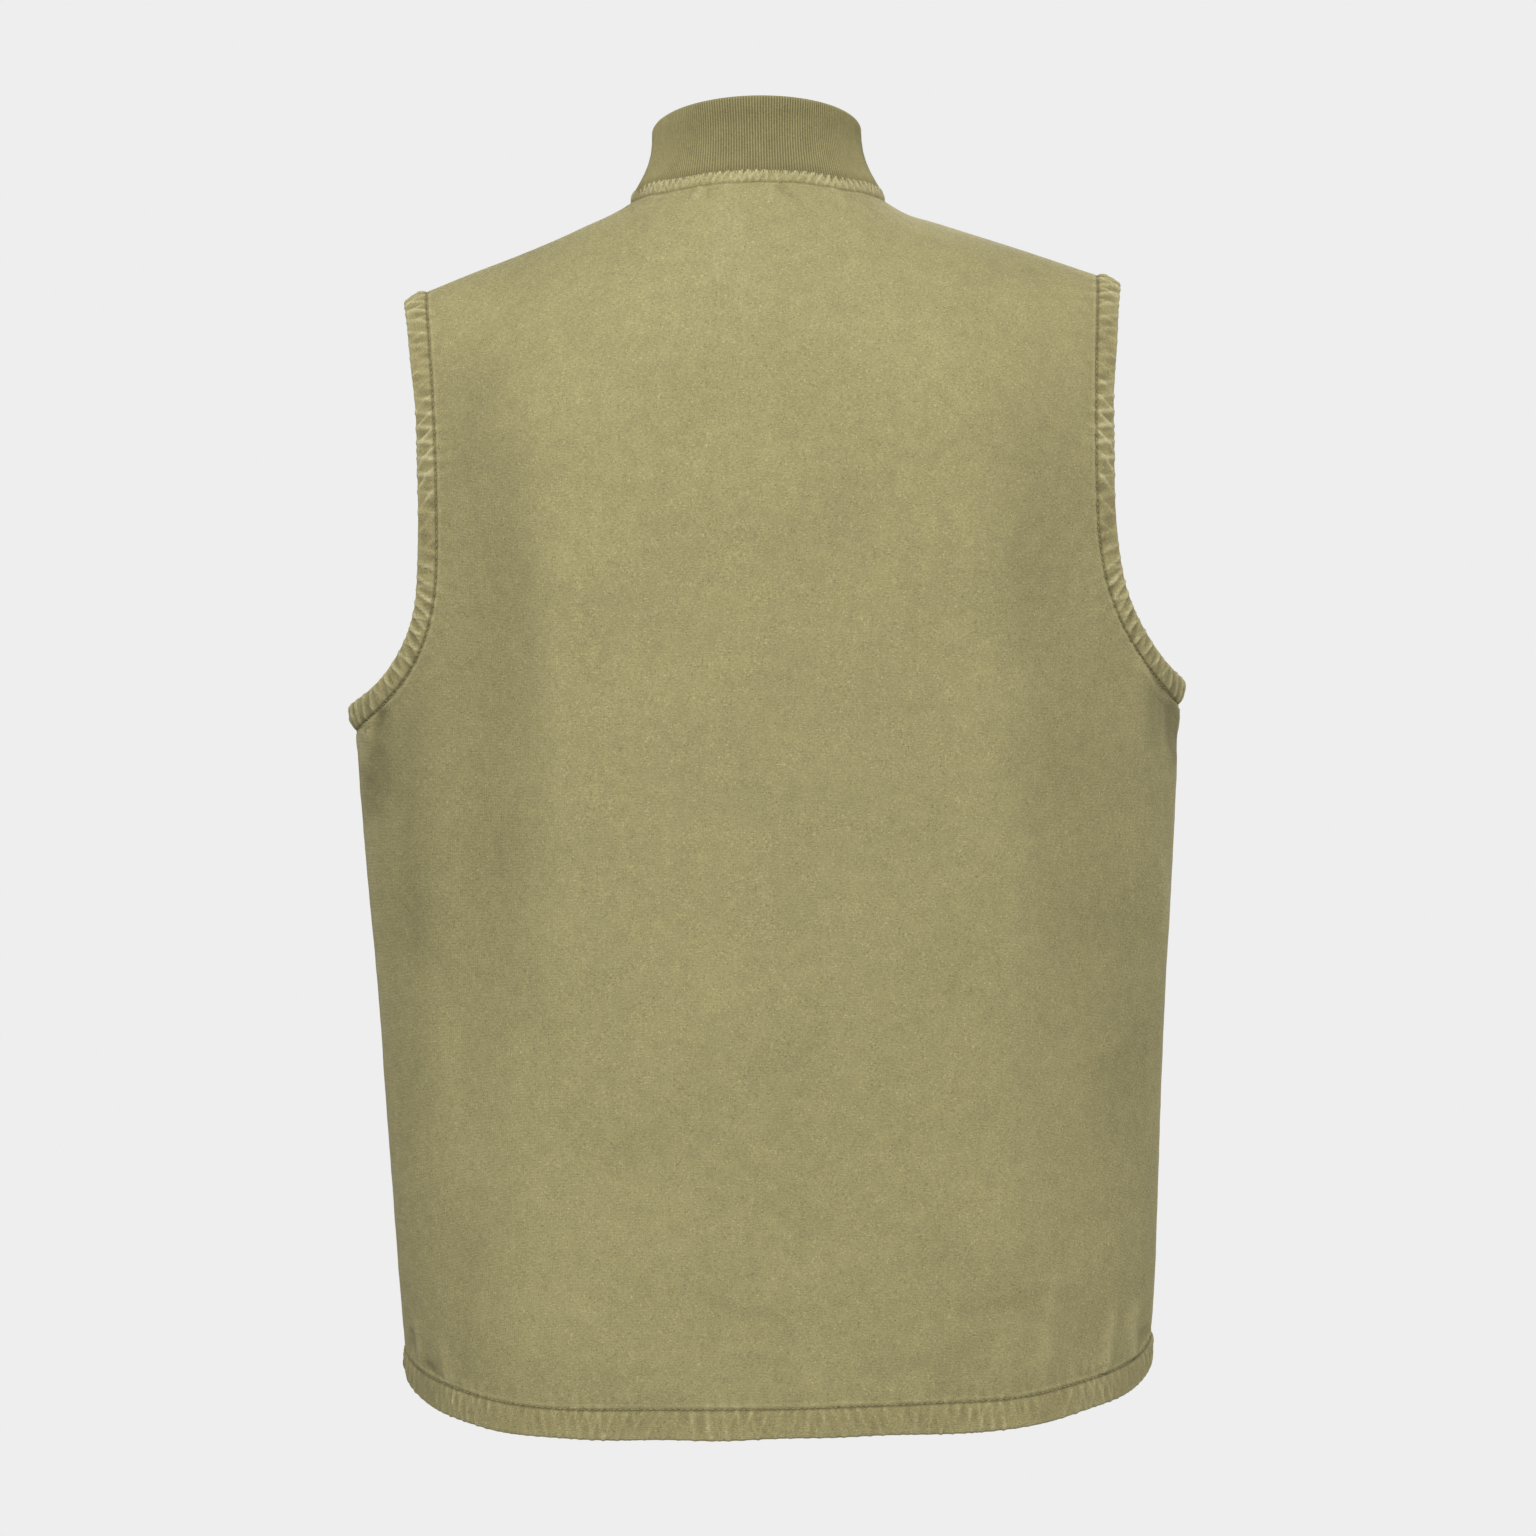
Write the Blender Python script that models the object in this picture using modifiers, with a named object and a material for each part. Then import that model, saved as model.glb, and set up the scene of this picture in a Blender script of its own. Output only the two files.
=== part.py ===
"""A canvas vest with a rib stand collar and a front zip, hollow and filled out as when it is worn.

Run with: blender --background --python part.py. Sizes are millimetres, and the meshes are written in metres.
The vest faces -Y, and +Z is up. The origin is the middle of the neck at the height of the shoulder line's
inner end, where a wearer's shoulders hold the vest. Left is the wearer's left, at +X.
"""

import math

import bpy
import numpy as np
from mathutils import Matrix, Vector

MM = 0.001

# ------------------------------------------------------------------ driving sizes
CLOTH = 1.8  # canvas wall
SEAM_GAP = 0.4  # between two panels at a side or shoulder seam
PIECE_GAP = 0.3  # between a panel and the band sewn to it
SIDE_ROUND = 0.54  # below 1, the lower this is the blunter each side turns
BACK_CROWN = 3.0  # how much flatter than its middle the back lies where it turns to the side
SHOULDER_DROP = 128.0  # the height over which the back rounds off the shoulder line
FRONT_DROP = 118.0  # the same on the front
RIDGE_ROUND = 12.0  # rounds the form over the middle of the neck
MIDDLE_BLEND = 120.0  # the width over which the left half's sizes turn into the right half's
NECK_HALF = 72.0  # half width of the panels' neck edge
NECK_BACK_CUT = 28.0  # neck edge below the shoulder ridge, centre back
NECK_FRONT_CUT = 114.0  # the same at centre front
HEM_SIDE = -641.0  # lower edge of the panels at the side seams
HEM_DIP = 19.7  # how much lower that edge is at centre back and centre front
HEM_LEVEL = 0.06  # how far round from each side seam, as a share, the edge stays level
FRONT_EDGE = 9.0  # from the zip's middle line to a front's edge

# One level of the body a row, hem to neck: height, half width at the sides, depth of the back and of the
# front, how far from the middle the cloth turns away to the side (back left, back right and fronts) and how
# rounded the edge is where it turns.
LEVELS = {
    "height": (-690, -600, -520, -440, -360, -300, -245, -190, -140, -90, -40, 20, 60),
    "half_width": (207.5, 213.8, 218.4, 223.2, 229, 232.3, 233, 233, 233, 233, 233, 233, 233),
    "back": (132, 127, 122.5, 119.5, 118, 117.5, 117, 115.5, 111, 106, 99, 93, 90),
    "front": (133, 129.5, 127, 125, 123.5, 122, 119, 112, 99, 79, 62, 50, 46),
    "turn_left": (132, 124, 114, 107, 104, 104, 104, 105, 107, 110, 112, 112, 112),
    "turn_right": (130, 122, 118, 117, 117, 117, 117, 118, 119, 120, 120, 120, 120),
    "turn_front": (128, 126, 124, 122, 120, 118, 116, 114, 112, 110, 108, 106, 106),
    "soft_left": (16, 13, 10, 7, 6, 6, 6, 6.5, 7, 8, 9, 9, 9),
    "soft_right": (16, 14, 12, 11, 10, 10, 10, 10, 10, 10, 10, 10, 10),
    "soft_front": (16, 14, 12, 11, 10, 10, 10, 10, 10, 10, 10, 10, 10),
}

# The shoulder line, by distance from the middle. Inside the neck it goes on as the top of the form.
SHOULDER_LINE = {
    "distance": (0, 30, 50, 62, 72, 84, 100, 140, 165, 190, 205),
    "left": (35, 28, 17.5, 10, 2.2, -5, -12.2, -27.8, -37, -46.8, -53),
    "right": (35, 27.5, 16.5, 8.7, 0.7, -6.8, -12.2, -25.7, -34.2, -43, -48.5),
}

# One side a row. Tip: outer end of the shoulder seam. Waist: where the armhole is cut in furthest, its
# height shared by both. Curl: how late the armhole swings out to the side seam.
SIDES = {
    "left": {"sign": 1, "tip": 188.0, "back_waist": 179.5, "front_waist": 166.0, "underarm": -293.5,
             "back_curl": 3.8, "front_curl": 3.4},
    "right": {"sign": -1, "tip": 191.0, "back_waist": 183.3, "front_waist": 168.0, "underarm": -287.5,
              "back_curl": 2.8, "front_curl": 3.0},
}
ARMHOLE_WAIST = -168.0

# Soft folds of the back and fronts, one a row: where each begins and ends (x and height), its half width
# and how far it stands out. A trough is below zero.
FOLDS = {
    "back": (
        # from_x, from_z, to_x, to_z, half_width, out
        (118, -150, 106, -480, 16, 2.6),
        (158, -215, 172, -520, 22, -4.2),
        (-122, -160, -128, -560, 20, 2.0),
        (-168, -300, -160, -640, 24, -3.4),
        (-205, -300, -214, -345, 9, 1.8),
        (60, -470, 70, -700, 34, -2.0),
        (-40, -430, -64, -700, 36, -2.2),
        (-112, -590, -84, -700, 22, -2.4),
    ),
    "front": (
        (112, -175, 118, -470, 20, 2.4),
        (158, -250, 166, -560, 24, -3.6),
        (-116, -170, -120, -500, 20, 2.2),
        (-162, -270, -158, -600, 24, -3.4),
        (58, -450, 66, -700, 30, -2.4),
        (-52, -430, -66, -700, 32, -2.4),
    ),
}

# Cross-section of each band: how far out from the panel's edge, and how far proud of the panel's face.
ARMHOLE_SECTION = {
    "out": (0.3, 3.5, 8.5, 12.2, 13.6, 12.4, 8.0, 0.3),
    "proud": (0.1, 1.2, 1.3, 0.5, -1.0, -2.4, -2.7, -1.9),
}
HEM_SECTION = {
    "out": (0.3, 4.0, 11.0, 15.0, 16.0, 15.2, 9.0, 0.3),
    "proud": (0.1, 1.0, 1.2, 0.6, -0.8, -2.1, -2.5, -1.9),
}
NECK_SECTION = {
    "out": (0.3, 2.4, 4.6, 6.4, 6.4, 0.3),
    "proud": (0.1, 1.1, 1.2, 0.4, -1.7, -1.9),
}
UNDERARM_FLARE = 3.6  # how far the armhole band leans out under the arm
UNDERARM_REACH = 38.0  # along the armhole, each way, that the lean fades over

RIB = 3.4  # the collar's rib knit, folded double
COLLAR_TOP_HALF = 57.0
COLLAR_TOP_BACK = 56.0
COLLAR_TOP_FRONT = 52.0
COLLAR_SIDE_HEIGHT = 41.5  # top edge over the shoulder line
COLLAR_BACK_RISE = 11.0
COLLAR_FRONT_FALL = 64.0
COLLAR_BELLY = 1.8  # how much the collar's side bows out between its seam and its top

ZIP_BELOW_PANEL = 12.0  # how far the zip runs on below the fronts' own edge, beside the hem band
CHAIN_HALF = 2.6
CHAIN_PROUD = (0.8, -1.6)  # front and back of the chain, from the cloth's outer face
CHAIN_BELOW_TOP = 8.0
STOP_LONG = 3.6
TAPE_PROUD = (-0.4, -1.4)
TAPE_BELOW_TOP = 3.0
BOX_LONG = 10.0
BOX_PROUD = (1.6, -2.2)
SLIDER_SIZE = (8.6, 2.6, 11.0)  # width, depth, length
SLIDER_BEVEL = 0.7
SLIDER_BELOW_TOP = 14.5  # to its middle
BAIL_WIDE = 1.2
BAIL_THICK = 1.0
BAIL_LONG = 7.0
BAIL_STAND = 3.0  # clear height inside the bail
PULL_TOP_WIDE = 6.2
PULL_LOW_WIDE = 5.4
PULL_LONG = 29.0
PULL_THICK = 1.3
PULL_BAR = 1.6  # the bar above the eye
PULL_EYE = (3.0, 5.4)  # width and height of the hole that the bail passes through

# ------------------------------------------------------------------ numbers of faces
COLUMNS = (6, 10)  # middle to neck, neck to side, each way
COLUMN_SPREAD = 1.15  # above 1, the columns beside the neck's corner lie closer together
ROWS = (8, 13)  # hem to underarm, underarm to shoulder
ZIP_STATIONS = (14, 3)  # hem to neck, neck to the collar's top
PULL_ROUND_STEPS = 8

# name: colour, roughness, metallic
FINISHES = {
    "canvas": ((0.375, 0.338, 0.176), 0.92, 0.0),
    "canvas_band": ((0.345, 0.309, 0.158), 0.93, 0.0),
    "rib_knit": ((0.275, 0.245, 0.125), 0.95, 0.0),
    "zip_tape": ((0.19, 0.165, 0.085), 0.9, 0.0),
    "zip_metal": ((0.30, 0.27, 0.21), 0.42, 1.0),
}


# ------------------------------------------------------------------ the form
def through(places, values, at):
    """Reads, at the given places, the smooth curve that passes through the table's values."""
    places = np.asarray(places, float)
    values = np.asarray(values, float)
    slopes = np.gradient(values, places)
    at = np.clip(at, places[0], places[-1])
    low = np.clip(np.searchsorted(places, at) - 1, 0, len(places) - 2)
    step = places[low + 1] - places[low]
    t = (at - places[low]) / step
    start = (1 + 2 * t) * (1 - t) ** 2 * values[low] + t * (1 - t) ** 2 * step * slopes[low]
    end = t * t * (3 - 2 * t) * values[low + 1] + t * t * (t - 1) * step * slopes[low + 1]
    return start + end


def level(column, height):
    return through(LEVELS["height"], LEVELS[column], height)


def both_halves(left, right, x):
    """The wearer's left value at x above zero, the right one below it, turning smoothly in the middle."""
    share = np.clip(0.5 + np.asarray(x, float) / MIDDLE_BLEND, 0, 1)
    return right + (left - right) * share * share * (3 - 2 * share)


def ridge(x):
    """Height of the shoulder line above x."""
    distance = np.hypot(x, RIDGE_ROUND)
    left = through(SHOULDER_LINE["distance"], SHOULDER_LINE["left"], distance)
    right = through(SHOULDER_LINE["distance"], SHOULDER_LINE["right"], distance)
    return both_halves(left, right, x)


def softer(first, second, soft):
    """The smaller of two values, rounded where they cross."""
    return -soft * np.logaddexp(-first / soft, -second / soft)


def fold_depth(face, x, z):
    """How far the folds push the cloth out at this place."""
    total = np.zeros(np.broadcast(x, z).shape)
    for from_x, from_z, to_x, to_z, half_width, out in FOLDS[face]:
        along = np.clip((from_z - z) / (from_z - to_z), 0, 1)
        middle = from_x + (to_x - from_x) * along
        ends = np.clip((from_z - z) / 70, 0, 1) * np.clip((z - to_z) / 90 + 1, 0, 1)
        fade = ends * ends * (3 - 2 * ends)
        total += out * fade * np.exp(-(((x - middle) / half_width) ** 2))
    return total


def depth(face, x, z):
    """How far behind the shoulder line (back) or in front of it (front) the cloth lies."""
    x = np.asarray(x, float)
    z = np.asarray(z, float)
    across = np.minimum(np.abs(x) / level("half_width", z), 1)
    deep = level(face, z)
    if face == "back":
        turn = both_halves(level("turn_left", z), level("turn_right", z), x)
        soft = both_halves(level("soft_left", z), level("soft_right", z), x)
        fall = SHOULDER_DROP
    else:
        turn = level("turn_front", z)
        soft = level("soft_front", z)
        fall = FRONT_DROP
    side = deep * ((1 - across) / (1 - turn / level("half_width", z))) ** SIDE_ROUND
    middle = deep - BACK_CROWN * (x / turn) ** 2
    below = np.clip((ridge(x) - z) / fall, 0, 1)
    over_shoulder = np.sqrt(1 - (1 - below) ** 2)
    away_from_seams = np.clip(6 * (1 - across), 0, 1) * below
    folds = fold_depth(face, x, z) * away_from_seams
    return np.maximum(softer(middle, side, soft), 0) * over_shoulder + folds


def on_body(face, x, z):
    """The point of the cloth's outer face at x and height z, and the outward normal there."""
    way = 1 if face == "back" else -1
    step = 0.05
    inward = np.where(np.asarray(x) >= 0, step, -step)
    here = depth(face, x, z)
    slope_x = (here - depth(face, x - inward, z)) / inward
    slope_z = (here - depth(face, x, z - step)) / step
    point = np.stack(np.broadcast_arrays(x, way * (here + SEAM_GAP / 2), z), -1)
    normal = np.stack(np.broadcast_arrays(-slope_x, way * 1.0, -slope_z), -1)
    return point, normal / np.linalg.norm(normal, axis=-1, keepdims=True)


def armhole_x(face, side, z):
    """Half width of the panel at the armhole's edge."""
    waist = side[face + "_waist"]
    tip_z = float(ridge(side["sign"] * side["tip"]))
    upper = np.clip((z - ARMHOLE_WAIST) / (tip_z - ARMHOLE_WAIST), 0, 1)
    lower = np.clip((ARMHOLE_WAIST - z) / (ARMHOLE_WAIST - side["underarm"]), 0, 1)
    out_to_tip = (side["tip"] - waist) * upper**2
    out_to_seam = (level("half_width", side["underarm"]) - waist) * lower ** side[face + "_curl"]
    return waist + out_to_tip + out_to_seam


def place(face, side, across, up):
    """(x, z) on a panel. across: 0 at the inner edge, 1 at the side seam or armhole. up: 0 at the lower
    edge, 1 at the underarm, 2 at the shoulder seam and neck."""
    start = 0.0 if face == "back" else FRONT_EDGE
    share = np.sin(across * math.pi / 2)
    sign = side["sign"]
    middle_height = (SIDES["left"]["underarm"] + SIDES["right"]["underarm"]) / 2
    chest_z = middle_height + (side["underarm"] - middle_height) * share

    hem_x = start + (level("half_width", HEM_SIDE) - start) * share
    hem_share = np.clip(depth(face, sign * hem_x, HEM_SIDE) / level(face, HEM_SIDE), 0, 1)
    hem_z = HEM_SIDE - HEM_DIP * (np.hypot(hem_share, HEM_LEVEL) ** 0.6 - HEM_LEVEL**0.6) / (1 - HEM_LEVEL**0.6)

    top_x = start + (side["tip"] - start) * share
    neck_cut = NECK_BACK_CUT if face == "back" else NECK_FRONT_CUT
    neck = neck_cut * np.clip(1 - (top_x / NECK_HALF) ** 2, 0, 1)
    top_z = ridge(sign * top_x) - neck

    low_z = hem_z + (chest_z - hem_z) * np.minimum(up, 1)
    high = np.clip(up - 1, 0, 1)
    z = np.where(up <= 1, low_z, chest_z + (top_z - chest_z) * high)
    edge_z = side["underarm"] + (float(ridge(sign * side["tip"])) - side["underarm"]) * high
    edge = np.where(up <= 1, level("half_width", z), armhole_x(face, side, edge_z))
    return sign * (start + (edge - start) * share), z


def neck_across(face, side):
    """The value of across whose column ends at the inner end of the shoulder seam."""
    start = 0.0 if face == "back" else FRONT_EDGE
    return math.asin((NECK_HALF - start) / (side["tip"] - start)) * 2 / math.pi


def neck_columns(face, side):
    """Values of across from the middle to the neck's corner, closer together near the corner."""
    return neck_across(face, side) * np.sin(np.linspace(0, math.pi / 2, COLUMNS[0] + 1))


def columns_of(face, side):
    corner = neck_across(face, side)
    outer = corner + (1 - corner) * np.linspace(0, 1, COLUMNS[1] + 1) ** COLUMN_SPREAD
    return np.concatenate([neck_columns(face, side), outer[1:]])


def armhole_rows():
    """Values of up along an armhole, closer together at the underarm and the shoulder."""
    return 1 + (1 - np.cos(np.linspace(0, math.pi, ROWS[1] + 1))) / 2


def all_rows():
    return np.concatenate([np.linspace(0, 1, ROWS[0] + 1), armhole_rows()[1:]])


# ------------------------------------------------------------------ meshes
def material_for(node, finish):
    colour, roughness, metallic = FINISHES[finish]
    material = bpy.data.materials.new(node)
    material.use_nodes = True
    shader = material.node_tree.nodes["Principled BSDF"]
    shader.inputs["Base Color"].default_value = (*colour, 1)
    shader.inputs["Roughness"].default_value = roughness
    shader.inputs["Metallic"].default_value = metallic
    material.diffuse_color = (*colour, 1)
    return material


def add_object(name, mesh, finish):
    mesh.materials.append(material_for(name, finish))
    piece = bpy.data.objects.new(name, mesh)
    bpy.data.collections["canvas_vest"].objects.link(piece)
    return piece


def add_mesh(name, points, faces, finish):
    mesh = bpy.data.meshes.new(name)
    mesh.from_pydata((np.reshape(points, (-1, 3)) * MM).tolist(), [], faces)
    mesh.update()
    outward(mesh)
    return add_object(name, mesh, finish)


def closed_grid(name, sections, finish, ring=False):
    """A solid through closed cross-sections: an array of sections by points by xyz. A ring joins its
    last section to its first, and otherwise both ends are capped."""
    count, around = sections.shape[:2]
    faces = []
    for i in range(count if ring else count - 1):
        after = (i + 1) % count
        for j in range(around):
            beside = (j + 1) % around
            faces.append((i * around + j, i * around + beside, after * around + beside, after * around + j))
    if not ring:
        faces.append(tuple(reversed(range(around))))
        faces.append(tuple(range((count - 1) * around, count * around)))
    return add_mesh(name, sections, faces, finish)


def outward(mesh):
    """Turns the faces round if the mesh is inside out."""
    mesh.calc_loop_triangles()
    volume = 0.0
    for triangle in mesh.loop_triangles:
        a, b, c = (mesh.vertices[i].co for i in triangle.vertices)
        volume += a.dot(b.cross(c))
    if volume < 0:
        mesh.flip_normals()


def wall(name, outer, inner, finish):
    """A cloth wall between two grids of points of the same size, with a rim all round."""
    rows, columns = outer.shape[:2]
    index = np.arange(rows * columns).reshape(rows, columns)
    behind = index + rows * columns
    faces = []
    for i in range(rows - 1):
        for j in range(columns - 1):
            quad = (index[i, j], index[i, j + 1], index[i + 1, j + 1], index[i + 1, j])
            faces.append(quad)
            faces.append(tuple(k + rows * columns for k in reversed(quad)))
    for line, back in (
        (index[0, ::-1], behind[0, ::-1]),
        (index[-1], behind[-1]),
        (index[:, 0], behind[:, 0]),
        (index[::-1, -1], behind[::-1, -1]),
    ):
        for k in range(len(line) - 1):
            faces.append((line[k], line[k + 1], back[k + 1], back[k]))
    return add_mesh(name, np.stack([outer, inner]), faces, finish)


def panel_grid(face, side):
    columns, rows = np.meshgrid(columns_of(face, side), all_rows())
    x, z = place(face, side, columns, rows)
    point, normal = on_body(face, x, z)
    return point, point - normal * CLOTH


# ------------------------------------------------------------------ panels
def add_back_panel():
    left_outer, left_inner = panel_grid("back", SIDES["left"])
    right_outer, right_inner = panel_grid("back", SIDES["right"])
    outer = np.concatenate([right_outer[:, :0:-1], left_outer], axis=1)
    inner = np.concatenate([right_inner[:, :0:-1], left_inner], axis=1)
    wall("back_panel", outer, inner, "canvas")


def add_front_panel(side_name):
    side = SIDES[side_name]
    outer, inner = panel_grid("front", side)
    wall(f"front_{side_name}_panel", outer, inner, "canvas")


# ------------------------------------------------------------------ bands along the edges
def frames_along(points, normals, flip, ends=None):
    """At each point of an edge, the direction out of the panel, square to the edge and to the normal.
    ends: the edge's directions at its two ends, or None where it is a closed loop."""
    tangent = np.roll(points, -1, axis=0) - np.roll(points, 1, axis=0)
    if ends:
        tangent[0], tangent[-1] = ends
    out = np.cross(tangent, normals) * flip
    return out / np.linalg.norm(out, axis=1, keepdims=True)


def band(name, points, normals, out, section, finish, ring=False, lean=None):
    """A strip sewn along an edge, with the given cross-section. lean tips it towards the normal."""
    lean = np.zeros(len(points)) if lean is None else lean
    reach = max(section["out"])
    rows = []
    for across, proud in zip(section["out"], section["proud"]):
        raised = proud + lean * across / reach
        rows.append(points + out * across + normals * raised[:, None])
    return closed_grid(name, np.stack(rows, axis=1), finish, ring)


def edge(face, side, across, up):
    across, up = np.broadcast_arrays(np.asarray(across, float), np.asarray(up, float))
    x, z = place(face, side, across, up)
    point, normal = on_body(face, x, z)
    point[:, 1] -= (SEAM_GAP / 2) * (1 if face == "back" else -1)
    return point, normal


def armhole_loop(side):
    """The edge of an armhole, from the shoulder down the back and up the front, with its normals."""
    up = armhole_rows()
    back_point, back_normal = edge("back", side, 1, up[::-1])
    front_point, front_normal = edge("front", side, 1, up)
    points = np.concatenate([back_point, front_point[1:-1]])
    normals = np.concatenate([back_normal, front_normal[1:-1]])
    return points, normals


def distance_along(points):
    steps = np.linalg.norm(np.diff(points, axis=0), axis=1)
    return np.concatenate([[0], np.cumsum(steps)])


def add_armhole_band(side_name):
    side = SIDES[side_name]
    points, normals = armhole_loop(side)
    out = frames_along(points, normals, side["sign"])
    run = distance_along(points)
    from_underarm = run - run[ROWS[1]]
    lean = UNDERARM_FLARE * np.exp(-((from_underarm / UNDERARM_REACH) ** 2))
    band(f"armhole_band_{side_name}", points, normals, out, ARMHOLE_SECTION, "canvas_band", ring=True, lean=lean)


def hem_edge(face, side_names):
    """The lower edge of a panel, from the wearer's right to the left."""
    pieces = []
    for side_name in side_names:
        side = SIDES[side_name]
        x, z = place(face, side, columns_of(face, side), 0.0)
        point, normal = on_body(face, x, z)
        if side["sign"] < 0:
            point, normal = point[::-1], normal[::-1]
        pieces.append((point, normal))
    points = np.concatenate([pieces[0][0], *(p[0][1:] for p in pieces[1:])])
    normals = np.concatenate([pieces[0][1], *(p[1][1:] for p in pieces[1:])])
    return points, normals


def add_hem_band(name, face, side_names):
    points, normals = hem_edge(face, side_names)
    way = 1 if face == "back" else -1
    at_right = (0, way, 0) if "right" in side_names else (1, 0, 0)
    at_left = (0, -way, 0) if "left" in side_names else (1, 0, 0)
    out = frames_along(points, normals, -way, ends=(at_right, at_left))
    band(name, points, normals, out, HEM_SECTION, "canvas_band")


def neck_edge():
    """The panels' neck edge, from the front edge at the wearer's right, round the back, to the left."""
    points, normals = [], []
    for side_name, face, way in (
        ("right", "front", 1),
        ("right", "back", -1),
        ("left", "back", 1),
        ("left", "front", -1),
    ):
        side = SIDES[side_name]
        point, normal = edge(face, side, neck_columns(face, side), 2)
        first = 1 if points else 0
        points.append(point[::way][first:])
        normals.append(normal[::way][first:])
    points, normals = np.concatenate(points), np.concatenate(normals)
    return points, normals, frames_along(points, normals, 1, ends=((-1, 0, 0), (-1, 0, 0)))


def add_neck_band():
    points, normals, out = neck_edge()
    band("neck_band", points, normals, out, NECK_SECTION, "canvas_band")


# ------------------------------------------------------------------ collar
def collar_top(angle):
    """The collar's top edge. The angle is 0 at centre back and half a turn at centre front."""
    back = np.clip(np.cos(angle), 0, 1)
    front = np.clip(-np.cos(angle), 0, 1)
    x = COLLAR_TOP_HALF * np.sin(angle)
    y = COLLAR_TOP_BACK * back - COLLAR_TOP_FRONT * front
    z = COLLAR_SIDE_HEIGHT + COLLAR_BACK_RISE * back**0.9 - COLLAR_FRONT_FALL * front**1.4
    return np.stack([x, y, z], -1)


def collar_seam():
    """The collar's lower edge, just above the neck band, and the angle of each of its points."""
    points, normals, out = neck_edge()
    seam = points + out * (max(NECK_SECTION["out"]) + PIECE_GAP) + normals * (RIB - CLOTH) / 2
    return np.arctan2(seam[:, 0], seam[:, 1]), seam


def collar_frames():
    """The collar's seam and top edge, and at each of their points the ways up and outward."""
    angle, seam = collar_seam()
    last = math.pi - math.asin(FRONT_EDGE / COLLAR_TOP_HALF)
    top = collar_top(angle * last / abs(angle[0]))
    up = (top - seam) / np.linalg.norm(top - seam, axis=1, keepdims=True)
    return seam, top, up, frames_along(seam, up, 1, ends=((-1, 0, 0), (-1, 0, 0)))


def add_collar():
    seam, top, up, away = collar_frames()
    height = np.linalg.norm(top - seam, axis=1, keepdims=True)
    outline = []
    for depth_in in (0, RIB):
        rise = []
        for share in (0.0, 0.3, 0.62):
            bow = COLLAR_BELLY * math.sin(math.pi * share)
            rise.append(seam + up * height * share + away * (bow - depth_in))
        edge_in = abs(depth_in - RIB * 0.2)
        rise.append(top - up * RIB * 0.6 - away * depth_in)
        rise.append(top - up * RIB * 0.1 - away * edge_in)
        outline.extend(rise if depth_in == 0 else reversed(rise))
    closed_grid("collar_rib", np.stack(outline, axis=1), "rib_knit")


# ------------------------------------------------------------------ zip
def zip_line():
    """The middle of the front, hem to collar top, on the cloth's outer face: points and outward normals."""
    seam, top, up, away = collar_frames()
    collar_low, collar_high = (np.array([0, end[0, 1], end[0, 2]]) for end in (seam, top))
    low = edge("front", SIDES["left"], 0, np.linspace(0, 2, ZIP_STATIONS[0]))[0]
    low[:, 0] = 0
    hem_end = low[0] + (low[0] - low[1]) * ZIP_BELOW_PANEL / np.linalg.norm(low[0] - low[1])
    collar = np.linspace(collar_low, collar_high, ZIP_STATIONS[1] + 1)
    points = np.concatenate([[hem_end], low, collar])
    tangent = np.gradient(points, axis=0)
    normals = np.cross((1, 0, 0), tangent)
    return points, normals / np.linalg.norm(normals, axis=1, keepdims=True)


def from_top(distance):
    """Point and normal of the zip line, this far down it from the collar's top."""
    points, normals = zip_line()
    points, normals = points[::-1], normals[::-1]
    run = distance_along(points)
    point = np.stack([np.interp(distance, run, points[:, i]) for i in range(3)], -1)
    normal = np.stack([np.interp(distance, run, normals[:, i]) for i in range(3)], -1)
    return point, normal / np.linalg.norm(normal, axis=-1, keepdims=True)


def zip_stations(first, last):
    """Distances from the top between these two, with a station at each point of the zip line."""
    points = zip_line()[0]
    run = distance_along(points[::-1])
    return np.concatenate([[first], run[(run > first + 1) & (run < last - 1)], [last]])


def add_strip(name, first, last, near_x, far_x, proud, finish):
    """A strip down the zip line, between two distances from the middle, with its front and back heights."""
    point, normal = from_top(zip_stations(first, last))
    corners = []
    for x, height in ((near_x, proud[0]), (far_x, proud[0]), (far_x, proud[1]), (near_x, proud[1])):
        corners.append(point + normal * height + np.array([x, 0, 0]))
    closed_grid(name, np.stack(corners, axis=1), finish)


def zip_length():
    return distance_along(zip_line()[0])[-1]


def add_zip_strips():
    whole = zip_length()
    for side_name, side in SIDES.items():
        near, far = side["sign"] * (CHAIN_HALF + PIECE_GAP), side["sign"] * (FRONT_EDGE - PIECE_GAP)
        add_strip(f"zip_tape_{side_name}", TAPE_BELOW_TOP, whole, near, far, TAPE_PROUD, "zip_tape")
        stop = (side["sign"] * 0.2, side["sign"] * CHAIN_HALF)
        first, last = CHAIN_BELOW_TOP - PIECE_GAP - STOP_LONG, CHAIN_BELOW_TOP - PIECE_GAP
        add_strip(f"zip_top_stop_{side_name}", first, last, *stop, CHAIN_PROUD, "zip_metal")
    add_strip("zip_chain", CHAIN_BELOW_TOP, whole - BOX_LONG - PIECE_GAP, -CHAIN_HALF, CHAIN_HALF, CHAIN_PROUD, "zip_metal")
    add_strip("zip_bottom_box", whole - BOX_LONG, whole, -CHAIN_HALF, CHAIN_HALF, BOX_PROUD, "zip_metal")


def zip_place(distance, proud):
    """A frame on the zip line: X to the wearer's left, Y up the zip and Z outward, in metres."""
    point, normal = from_top(distance)
    upward = np.cross(normal, (1, 0, 0))
    origin = Vector((point + normal * proud) * MM)
    frame = Matrix(((1, 0, 0), upward.tolist(), normal.tolist())).transposed().to_4x4()
    return Matrix.Translation(origin) @ frame


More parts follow.
